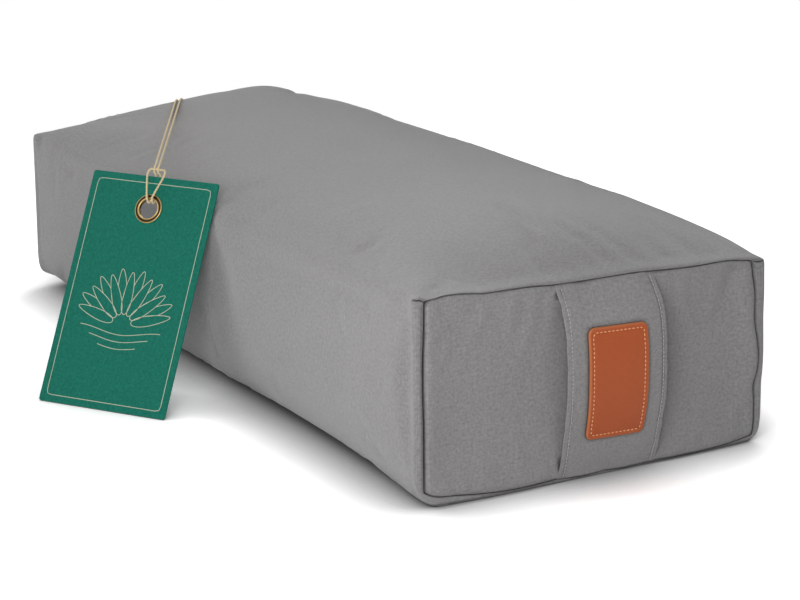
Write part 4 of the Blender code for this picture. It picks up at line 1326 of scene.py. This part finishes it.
def rounded_ring(width, height, corner, counts):
    """A rounded rectangle as a ring, each side divided evenly from corner middle to corner
    middle, anticlockwise from the lower left."""
    columns, rows = counts
    arc = np.linspace(0, np.pi / 2, CORNER_STEPS + 1)
    outline = []
    for turn, (sx, sy) in enumerate(((-1, -1), (1, -1), (1, 1), (-1, 1))):
        angle = np.pi * (1 + turn / 2) + arc
        x = sx * (width / 2 - corner) + corner * np.cos(angle)
        y = sy * (height / 2 - corner) + corner * np.sin(angle)
        outline.extend(zip(x, y))
    outline = np.roll(np.array(outline), -CORNER_STEPS // 2, axis=0)
    closed = np.concatenate([outline, outline[:1]])
    length = arc_length(closed)
    stops = length[:: CORNER_STEPS + 1]
    wanted = np.concatenate(
        [
            np.linspace(start, end, count, endpoint=False)
            for start, end, count in zip(stops, stops[1:], (columns, rows, columns, rows))
        ]
    )
    return points_along(closed, length, wanted)


def patch_place(flat, lift):
    """Lays flat patch coordinates (x, z from its middle) on the strap's face, lifted off it."""
    x, z = flat[..., 0], flat[..., 1]
    across = PATCH_ACROSS + x / (STRAP_WIDTH / 2)
    face = strap_face(NEAR_STRAP, across, PATCH_SHARE + z / PATCH_RISE)
    face[..., 1] -= PATCH_LIFT + lift
    return face


def make_patch():
    """A die-cut plate: top and bottom Coons grids joined at a rounded edge, with a shallow
    channel pressed along the sewing line, and the stitches that lie in it."""
    ring = rounded_ring(PATCH_WIDTH, PATCH_HEIGHT, PATCH_CORNER, PATCH_GRID)
    flat = coons(np.concatenate([ring, 0 * ring[:, :1]], 1), *PATCH_GRID)[..., :2]
    half = np.array([PATCH_WIDTH, PATCH_HEIGHT]) / 2
    gap = half - np.abs(flat)
    corner = np.minimum(gap, PATCH_CORNER)
    edge = PATCH_CORNER - np.linalg.norm(PATCH_CORNER - corner, axis=-1)
    edge = np.where((gap < PATCH_CORNER).all(-1), edge, gap.min(-1))
    edge = np.maximum(edge, 0)
    round_over = PATCH_ROUND_DEPTH * (quarter_round(edge, PATCH_ROUND_WIDTH) - 1)
    groove = PATCH_GROOVE_DEPTH * np.exp(-(((edge - PATCH_STITCH_INSET) / PATCH_GROOVE_WIDTH) ** 2))
    place = np.concatenate([flat, 0 * flat[..., :1]], -1)
    top = PATCH_THICKNESS + round_over - groove + 0.06 * MM * waves(place, 6 * MM, 21, 3)
    upper = patch_place(flat, top)
    lower = patch_place(flat, 0 * top)
    points, quads = plate(upper, lower)
    worn = PATCH_EDGE_TONE * np.exp(-((edge / PATCH_WEAR) ** 2))
    worn = np.concatenate([worn.ravel(), np.full(worn.size, PATCH_BACK_TONE)])
    hide = mesh_piece("leather_patch_hide", points, quads, tone=worn)
    finish_piece(hide, leather, "tan_leather", "leather_patch")
    inset = PATCH_STITCH_INSET
    line = rounded_ring(
        PATCH_WIDTH - 2 * inset, PATCH_HEIGHT - 2 * inset, PATCH_CORNER - inset / 2, PATCH_GRID
    )
    line = np.concatenate([line, line[:1]])
    path = patch_place(line, PATCH_THICKNESS - PATCH_STITCH_SINK)
    normals = np.tile((0.0, -1.0, 0.0), (len(path), 1))
    row = stitch_row(path, normals, *PATCH_STITCH)
    make_stitches("patch_saddle_stitches", [row], "patch_stitching", "orange_thread", orange_thread)


make_patch()


# Zip in the cover's right side, and the one in the inner bag
COIL_PITCH = 1.5 * MM
COIL_WIDTH, COIL_HEIGHT = 2.6 * MM, 2.0 * MM  # of one row's solid
COIL_SPLIT = 1.4 * MM  # gap between the two rows' solids, which their loops fill
COIL_WIRE = 0.42 * MM  # its radius
COIL_SIDES = 5
COIL_STEPS = 10  # of each turn


def make_coil(prefix, side, sign, along, out):
    """One row of a coil zip: a wire wound as a flattened helix, one turn every pitch, that
    fills the box of its CAD node and half of the gap to the other row."""
    node = f"{prefix}_zip_coil_{side}"
    low, high = (np.array(corner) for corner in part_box(node))
    along, out = np.array(along, float), np.array(out, float)
    up = np.array((0.0, 0.0, 1.0))
    middle = (low + high) / 2
    length = abs((high - low) @ along) - 2 * COIL_WIRE
    turns = int(length / COIL_PITCH)
    angle = np.linspace(0, 2 * np.pi * turns, turns * COIL_STEPS + 1)
    run = (angle / angle[-1] - 0.5) * length
    wide = np.cos(angle) * (COIL_WIDTH / 2 + COIL_SPLIT / 4 - COIL_WIRE) - sign * COIL_SPLIT / 4
    deep = np.sin(angle) * (COIL_HEIGHT / 2 - COIL_WIRE)
    path = middle + run[:, None] * along + wide[:, None] * up + deep[:, None] * out
    tangent = unit(np.gradient(path, axis=0))
    outer = unit(np.cos(angle)[:, None] * up + np.sin(angle)[:, None] * out)
    grid = tube(path, outer, unit(np.cross(tangent, outer)), COIL_WIRE, COIL_SIDES)
    piece = mesh_piece(f"{node}_wire", grid, grid_quads(len(path), COIL_SIDES, closed_columns=True))
    finish_piece(piece, nylon, "nylon_coil", node)


for side, sign in (("upper", 1), ("lower", -1)):
    make_coil("cover", side, sign, (0, 1, 0), (1, 0, 0))
    make_coil("inner", side, sign, (-1, 0, 0), (0, 1, 0))


cover_tree = BVHTree.FromPolygons(
    wrap_grid.reshape(-1, 3).tolist(), grid_quads(*wrap_grid.shape[:2], closed_columns=True).tolist()
)


TOPSTITCH_INSET = 0.0028  # from the slit
TOPSTITCH_REACH = 0.0030  # past its ends
TOPSTITCH_STEPS = 240
SIDE_SEARCH, TOP_SEARCH = 0.3, 0.4  # x and z that lie clear of the cover, where rays start


def make_zip_topstitch():
    """Two rows of stitches that hold the tapes, above and below the slit, on the cloth."""
    rows = []
    end = ZIP_HALF_LENGTH + TOPSTITCH_REACH
    places = np.linspace(-end, end, TOPSTITCH_STEPS)
    for height in (ZIP_LOW - TOPSTITCH_INSET, ZIP_HIGH + TOPSTITCH_INSET):
        starts = [Vector((SIDE_SEARCH, y, height)) for y in places]
        hits = [cover_tree.ray_cast(start, Vector((-1, 0, 0))) for start in starts]
        path = np.array([hit[0] for hit in hits])
        normals = np.array([hit[1] * math.copysign(1, hit[1].x) for hit in hits])
        rows.append(stitch_row(path, normals, *ZIP_STITCH))
    make_stitches("cover_zip_topstitch", rows, None, "grey_thread", canvas_thread)


make_zip_topstitch()


LABEL_WAVE = 0.5 * MM
LABEL_ROWS, LABEL_COLUMNS = 24, 16


def make_label():
    """The blank care label: a strip of ribbon as a thin plate, bent by a shallow wave."""
    low, high = (np.array(corner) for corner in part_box("care_label"))
    share = np.linspace(0, 1, LABEL_ROWS)[:, None]
    across = np.linspace(0, 1, LABEL_COLUMNS)[None]
    x = low[0] + (high[0] - low[0]) * across + 0 * share
    z = low[2] + (high[2] - low[2]) * share + 0 * across
    wave = LABEL_WAVE * np.sin(share * 4.2 + across * 1.5)
    front = np.stack([x, high[1] + wave, z], -1)
    back = np.stack([x, low[1] + wave, z], -1)
    piece = mesh_piece("care_ribbon", *plate(front, back))
    finish_piece(piece, satin, "white_satin", "care_label")


make_label()


# Swing tag: eyelet and print
def on_card(flat, height):
    """World places of points (x, y) in the card's frame at a height over its middle plane."""
    turned = np.array(card_frame())
    local = np.stack(np.broadcast_arrays(flat[..., 0], flat[..., 1], height), -1)
    return local @ turned[:3, :3].T + turned[:3, 3]


EYELET_STEPS = 72


def turned_on_card(name, profile, node):
    """A ring of brass: a closed profile of (radius, height, tone) in mm, turned about the
    eyelet's axis."""
    radius, height, tone = np.array(profile).T
    angle = circle(EYELET_STEPS)
    flat = np.stack([radius[:, None] * np.cos(angle), radius[:, None] * np.sin(angle)], -1) * MM
    points = on_card(flat, height[:, None] * MM)
    quads = grid_quads(len(radius), len(angle), closed_rows=True, closed_columns=True)
    piece = mesh_piece(name, points, quads, tone=np.repeat(tone, len(angle)))
    return finish_piece(piece, brass, "antique_brass", node)


EYELET_PROFILE = (
    (8.5, -1.4, 0),
    (8.5, 0.6, 0),
    (8.55, 1.3, 0),
    (8.8, 1.75, 0),
    (9.2, 1.9, 0),
    (9.5, 1.78, 0.4),
    (9.8, 1.6, 0.9),
    (10.6, 1.5, 1),
    (11.4, 1.55, 1),
    (11.8, 1.7, 0.5),
    (12.0, 1.72, 0),
    (12.3, 1.5, 0),
    (12.5, 1.1, 0),
    (12.5, 0.75, 0),
    (12.3, 0.62, 0),
    (9.1, 0.62, 0),
    (9.1, -1.4, 0),
)
WASHER_PROFILE = (
    (9.25, -0.62, 0),
    (12.3, -0.62, 0),
    (12.5, -0.8, 0),
    (12.5, -1.0, 0),
    (12.2, -1.25, 0),
    (10.8, -1.4, 1),
    (9.6, -1.35, 0),
    (9.25, -1.1, 0),
)
PRINT_LINE = 0.52 * MM
PRINT_FRAME_INSET = 6.0 * MM
FLOWER_PLACE = np.array((0.0, -0.100))
PETAL_TURN = math.radians(25)
PETAL = (9.0, 36.0, 5.4)  # start, length and half width in mm
BACK_PETAL = (20.0, 28.0, 5.0)
PETAL_STEPS = 72
INK_SECTION = ((-1, 0.02), (1, 0.02), (0.9, 0.07), (-0.9, 0.07))  # (half widths, mm high)
WATER_LINES = 3


def ink_line(path, closed):
    """Points and quads of a line of ink: a flat rectangle carried along a path on the card."""
    if closed:
        run = np.roll(path, -1, 0) - np.roll(path, 1, 0)
    else:
        run = np.gradient(path, axis=0)
    run = unit(run)
    side = np.stack([-run[:, 1], run[:, 0]], -1) * PRINT_LINE / 2
    half = CARD_THICKNESS / 2
    rings = [on_card(path + side * place, half + height * MM) for place, height in INK_SECTION]
    return np.stack(rings, 1), grid_quads(len(path), len(rings), closed_rows=closed, closed_columns=True)


def petal_width(along, start, length, width):
    """Half the width of a petal at a distance from the flower's foot: an ellipse's, drawn
    out to a point."""
    share = np.clip((along - start) / length, 0, 1)
    return 2 * width * np.sqrt(share * (1 - share)) * (1 - 0.45 * share)


def petal(turn, start, length, width):
    """A petal's closed outline, in mm from the flower's foot, turned about it."""
    angle = circle(PETAL_STEPS)
    along = start + length * (1 - np.cos(angle)) / 2
    across = np.sign(np.sin(angle)) * petal_width(along, start, length, width)
    x = across * math.cos(turn) + along * math.sin(turn)
    return np.stack([x, along * math.cos(turn) - across * math.sin(turn)], -1)


def behind_petals(path):
    """Whether points, in mm from the flower's foot, lie inside a petal of the front row."""
    hidden = np.zeros(len(path), bool)
    for step in range(-3, 4):
        turn = step * PETAL_TURN
        along = path[:, 0] * math.sin(turn) + path[:, 1] * math.cos(turn)
        across = path[:, 0] * math.cos(turn) - path[:, 1] * math.sin(turn)
        hidden |= np.abs(across) < petal_width(along, *PETAL)
    return hidden


def make_print():
    """The card's print, of the maker's own drawing: a thin frame, and an open flower of two
    rows of petals over three water lines. The back row shows only between the front one."""
    lines = []
    for step in range(-3, 4):
        lines.append((petal(step * PETAL_TURN, *PETAL), True))
    for step in range(-3, 3):
        outline = petal((step + 0.5) * PETAL_TURN, *BACK_PETAL)
        lines.append((outline[~behind_petals(outline)], False))
    for step in range(WATER_LINES):
        x = np.linspace(-1, 1, 40) * (38 - 10 * step)
        ripple = 2.6 * np.cos(x * math.pi / 38)
        lines.append((np.stack([x, -6 - 6 * step - ripple], -1), False))
    lines = [(path * MM + FLOWER_PLACE, closed) for path, closed in lines]
    inset = 2 * PRINT_FRAME_INSET
    frame_line = rounded_ring(CARD_WIDTH - inset, CARD_HEIGHT - inset, 3 * MM, (30, 50))
    lines.append((frame_line + (0, CARD_EYE_MARGIN - CARD_HEIGHT / 2), True))
    ink = [ink_line(path, closed) for path, closed in lines]
    finish_piece(mesh_piece("card_print", *joined(ink)), cream_ink, "cotton_twine")


eyelet = turned_on_card("eyelet_ring", EYELET_PROFILE, "tag_eyelet")
washer = turned_on_card("eyelet_washer", WASHER_PROFILE, "tag_eyelet_washer")
make_print()


# Twine: from the knot behind the far handle over the top to the eyelet, and back
TWINE_DIAMETER = 0.0020
PLY_STEP = 0.0011  # between two rings of a ply
PLY_LAY = 0.0050  # one full twist
PLY_ARM, PLY_RADIUS = 0.24, 0.26  # of the plies' centres and sections, in twine diameters
PLY_SIDES = 8
TOP_FROM = 0.12  # cloth above this height carries the twine
# Half of the hitch, in the card's frame; the other half is its mirror image
HITCH = (
    (-0.0018, 0.0385, 0.0030),
    (-0.0018, 0.0345, 0.0040),
    (-0.0019, 0.0310, 0.0022),
    (-0.0020, 0.0305, -0.0004),
    (-0.0021, 0.0266, -0.0032),
    (-0.0022, 0.0170, -0.0031),
    (-0.0022, 0.0102, -0.0035),
    (-0.0020, 0.0064, -0.0022),
    (-0.0020, 0.0055, 0.0006),
    (-0.0024, 0.0084, 0.0037),
    (-0.0042, 0.0150, 0.0036),
    (-0.0068, 0.0240, 0.0027),
    (-0.0080, 0.0305, 0.0020),
    (-0.0068, 0.0338, 0.0012),
    (-0.0040, 0.0342, 0.0010),
)
FAR_SEAM_CROSSING = (-0.0040, 0.3485)  # x and y where the strands go over the far seam
# Where a strand lies on the far handle (x, z) and behind it; the other one mirrors its x
ON_STRAP = ((-0.0080, 0.1425), (-0.0170, 0.1398), (-0.0300, 0.1364), (-0.0405, 0.1334))
BEHIND_STRAP = (
    (-0.0462, 0.3598, 0.1312),
    (-0.0474, 0.3570, 0.1290),
    (-0.0400, 0.3555, 0.1272),
    (-0.0200, 0.3555, 0.1268),
    (-0.0038, 0.3555, 0.1268),
)


def smooth_route(points, step):
    """A Catmull-Rom curve through the points, in pieces no longer than a step."""
    route = []
    padded = [points[0] * 2 - points[1], *points, points[-1] * 2 - points[-2]]
    for a, b, c, d in zip(padded, padded[1:], padded[2:], padded[3:]):
        pieces = math.ceil((c - b).length / step)
        for i in range(pieces):
            t = i / pieces
            bend = (2 * a - 5 * b + 4 * c - d) * t * t + (3 * b - 3 * c + d - a) * t * t * t
            route.append((2 * b + (c - a) * t + bend) / 2)
    return [*route, points[-1]]


def cover_height(point):
    """Height of the twine's middle when it lies on the cover under or over a point."""
    start = Vector((point.x, point.y, TOP_SEARCH))
    hit = cover_tree.ray_cast(start, Vector((0, 0, -1)))[0]
    return hit.z + 0.5 * TWINE_DIAMETER if hit is not None and hit.z > TOP_FROM else 0.0


def on_far_strap(x, z):
    """The place on the far handle's outer face where the twine lies over it."""
    low = np.interp(x, *seam_height(far_ring, False))
    high = np.interp(x, *seam_height(far_ring, True))
    face = strap_face(FAR_STRAP, x / (STRAP_WIDTH / 2), (z - low) / (high - low))
    return Vector((x, float(face[1]) + 0.5 * TWINE_DIAMETER, z))


TAUT_STEPS = 120
TAUT_KEEP = 4  # one in so many of those places becomes a point of the strand


def taut_over_cover(start, end):
    """Points along a taut strand from a start to the far seam: seen from above it is
    straight, and its height is the upper convex hull of the cover's heights below it."""
    dense = [start.lerp(end, share) for share in np.linspace(0, 1, TAUT_STEPS + 1)]
    flat = np.array([point.xy for point in dense])
    along = arc_length(flat)
    heights = [start.z] + [cover_height(point) for point in dense[1:]]
    hull = []
    for place, height in zip(along, heights):
        while len(hull) > 1:
            (a, low), (b, high) = hull[-2:]
            if (high - low) * (place - a) > (height - low) * (b - a):
                break
            hull.pop()
        hull.append((place, height))
    lifted = np.interp(along, *zip(*hull))
    return [Vector((*flat[i], lifted[i])) for i in range(TAUT_KEEP, len(dense), TAUT_KEEP)]


ACROSS_TWINE = Vector((0.866, -0.5, 0.0))  # the way the strands lie beside each other
HITCH_REACH = 0.06  # past this distance from the eyelet the twine lies on the cover


def twine_route():
    """The twine's middle line: the hitch as listed, both strands taut over the cover, and
    points on the far handle and behind it, all joined by one smooth curve."""
    card = card_frame()
    hitch = [card @ Vector(point) for point in HITCH]
    hitch += [card @ Vector((-x, y, z)) for x, y, z in reversed(HITCH)]
    beside = ACROSS_TWINE * 1.1 * TWINE_DIAMETER
    strands = []
    for side, start in ((-1, hitch[0]), (1, hitch[-1])):
        crossing = Vector((*FAR_SEAM_CROSSING, 0)) + beside * side
        strap = [on_far_strap(x * -side, z) for x, z in ON_STRAP]
        behind = [Vector((x * -side, y, z)) for x, y, z in BEHIND_STRAP]
        strands.append([*taut_over_cover(start, crossing), *strap, *behind])
    route = smooth_route([*reversed(strands[0]), *hitch, *strands[1]], PLY_STEP)
    for point in route:
        if (point - CARD_EYE).length > HITCH_REACH:
            point.z = max(point.z, cover_height(point))
    return route


def path_frames(path):
    """Normals carried along a path without twist, and the sides square to them."""
    tangents = unit(np.gradient(path, axis=0))
    normal = unit(np.cross(tangents[0], (0.3, 0.1, 1.0)))
    normals = []
    for tangent in tangents:
        normal = unit(normal - tangent * (normal @ tangent))
        normals.append(normal)
    normals = np.array(normals)
    return normals, np.cross(tangents, normals)


def two_plies(path):
    """Points and quads of two plies twisted round a path: each ply's centre circles the path
    at about half the twine's radius, once every lay length, with a round section."""
    normals, sides = path_frames(path)
    quads = grid_quads(len(path), PLY_SIDES, closed_columns=True)
    plies = []
    for ply in range(2):
        turn = (2 * np.pi * arc_length(path) / PLY_LAY + np.pi * ply)[:, None]
        arm = normals * np.cos(turn) + sides * np.sin(turn)
        centre = path + arm * TWINE_DIAMETER * PLY_ARM
        rings = tube(centre, *path_frames(centre), TWINE_DIAMETER * PLY_RADIUS, PLY_SIDES)
        plies.append((rings, quads))
    return joined(plies)


route = twine_route()
twine = mesh_piece("twine_plies", *two_plies(np.array(route)))
finish_piece(twine, twine_cotton, "cotton_twine", "tag_twine")


KNOT_SIZE = np.array((0.80, 0.62, 0.75)) * MM
KNOT_TAILS = np.array([[1.2, 0.0, 0.4], [-1.2, 0.0, 0.4]]) * MM
KNOT_OPEN = 0.25  # angle at which the trefoil is open for its tails
KNOT_STEPS = 90


def make_knot():
    """The overhand knot that closes the loop: a trefoil curve, whose point is a sum of sines
    of one, two and three times its angle, with two short tails."""
    low, high = (np.array(corner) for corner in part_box("tag_twine_knot"))
    t = np.linspace(KNOT_OPEN, 2 * np.pi - KNOT_OPEN, KNOT_STEPS)
    trefoil = [np.sin(t) + 2 * np.sin(2 * t), np.cos(t) - 2 * np.cos(2 * t), -np.sin(3 * t)]
    path = np.stack(trefoil, -1) * KNOT_SIZE
    path = np.concatenate([path[:1] + KNOT_TAILS[:1], path, path[-1:] + KNOT_TAILS[1:]])
    path = path[:, [0, 2, 1]] + (low + high) / 2
    piece = mesh_piece("twine_knot", *two_plies(path))
    return finish_piece(piece, twine_cotton, "cotton_twine", "tag_twine_knot")


knot = make_knot()


# Stage, light and white background
FLOOR_SHADOW_REACH = 0.50  # the floor shows its shadow within this distance of the middle
FLOOR_WHITE_START = 0.95  # and is plain white from here on
FLOOR_HALF, FLOOR_HEIGHT = 9.0, -0.2 * MM
FLOOR_COLOUR = (0.8, 0.8, 0.8, 1.0)  # as it lights the object
FLOOR_SHADE_REACH = 0.06  # the shade of contact reaches this far
FLOOR_SHADE_POWER = 1.6
FLOOR_GAIN = 2.0
FLOOR_LIFT = 0.24  # light that the shown floor gives off, so that its shadow stays pale
WHITE = (1.0, 1.0, 1.0, 1.0)
WORLD_STRENGTH = 0.235
LAMP_AIM = Vector((0.0, 0.0, 0.1))
# Softboxes: name, place, width in metres and power in watts
LAMPS = (
    ("front_softbox", (-0.9, -1.2, 0.7), 0.8, 11.8),
    ("left_softbox", (-1.7, 1.45, 1.0), 1.8, 17.2),
    ("right_back_softbox", (1.7, 1.5, 1.3), 1.4, 22.5),
)


def seen_directly(tree):
    """1 for rays from the camera and in reflections and glass, 0 for the rest."""
    path = add_node(tree, "ShaderNodeLightPath").outputs
    seen = path["Is Camera Ray"]
    for kind in ("Is Glossy Ray", "Is Transmission Ray"):
        seen = calculated(tree, "MAXIMUM", seen, path[kind])
    return seen


def make_floor():
    """A pale matt floor. Where it is seen near the object, it is a brighter matt white that
    keeps the shadow, darkened by a power of the open share of the sky above each place and
    lifted by a little light in proportion to that share. Further off it is plain white."""
    made, tree, output = new_material("pale_studio_floor")
    seen = seen_directly(tree)
    matt = add_node(tree, "ShaderNodeBsdfDiffuse", Color=FLOOR_COLOUR)
    sky = add_node(tree, "ShaderNodeAmbientOcclusion", Distance=FLOOR_SHADE_REACH).outputs["AO"]
    shade = calculated(tree, "POWER", sky, FLOOR_SHADE_POWER)
    gain = calculated(tree, "MULTIPLY", shade, FLOOR_GAIN)
    lift = calculated(tree, "MULTIPLY", sky, FLOOR_LIFT)
    shown = add_node(tree, "ShaderNodeBsdfDiffuse", Color=gain)
    glow = add_node(tree, "ShaderNodeEmission", Color=WHITE, Strength=lift)
    both = add_node(tree, "ShaderNodeAddShader", i0=shown.outputs[0], i1=glow.outputs[0])
    white = add_node(tree, "ShaderNodeEmission", Color=WHITE, Strength=1.0)
    place = add_node(tree, "ShaderNodeTexCoord").outputs["Object"]
    away = add_node(tree, "ShaderNodeVectorMath", {"operation": "LENGTH"}, i0=place).outputs["Value"]
    away = add_node(
        tree, "ShaderNodeMapRange", Value=away, From_Min=FLOOR_SHADOW_REACH, From_Max=FLOOR_WHITE_START
    )
    shown = add_node(tree, "ShaderNodeMixShader", i0=away.outputs[0], i1=both.outputs[0], i2=white.outputs[0])
    mixed = add_node(tree, "ShaderNodeMixShader", i0=seen, i1=matt.outputs[0], i2=shown.outputs[0])
    tree.links.new(mixed.outputs[0], output.inputs["Surface"])
    signs = ((-1, -1), (1, -1), (1, 1), (-1, 1))
    corners = [(x * FLOOR_HALF, y * FLOOR_HALF, FLOOR_HEIGHT) for x, y in signs]
    floor = mesh_piece("studio_floor", corners, [(0, 1, 2, 3)])
    floor.data.materials.append(made)


def make_world():
    """A dim white sky that is seen as plain white."""
    world = bpy.data.worlds.new("studio_world")
    bpy.context.scene.world = world
    world.use_nodes = True
    tree = world.node_tree
    tree.nodes.clear()
    output = tree.nodes.new("ShaderNodeOutputWorld")
    seen = seen_directly(tree)
    dim = add_node(tree, "ShaderNodeBackground", Color=WHITE, Strength=WORLD_STRENGTH)
    white = add_node(tree, "ShaderNodeBackground", Color=WHITE, Strength=1.0)
    mixed = add_node(tree, "ShaderNodeMixShader", i0=seen, i1=dim.outputs[0], i2=white.outputs[0])
    tree.links.new(mixed.outputs[0], output.inputs["Surface"])


def make_lamp(name, place, size, power):
    """A square softbox that faces the object."""
    data = bpy.data.lights.new(name, "AREA")
    data.size = size
    data.energy = power
    lamp = bpy.data.objects.new(name, data)
    bpy.context.scene.collection.objects.link(lamp)
    lamp.location = place
    lamp.rotation_euler = (LAMP_AIM - Vector(place)).to_track_quat("-Z", "Y").to_euler()


make_floor()
make_world()
for lamp_row in LAMPS:
    make_lamp(*lamp_row)

bpy.context.scene.view_settings.view_transform = "Standard"
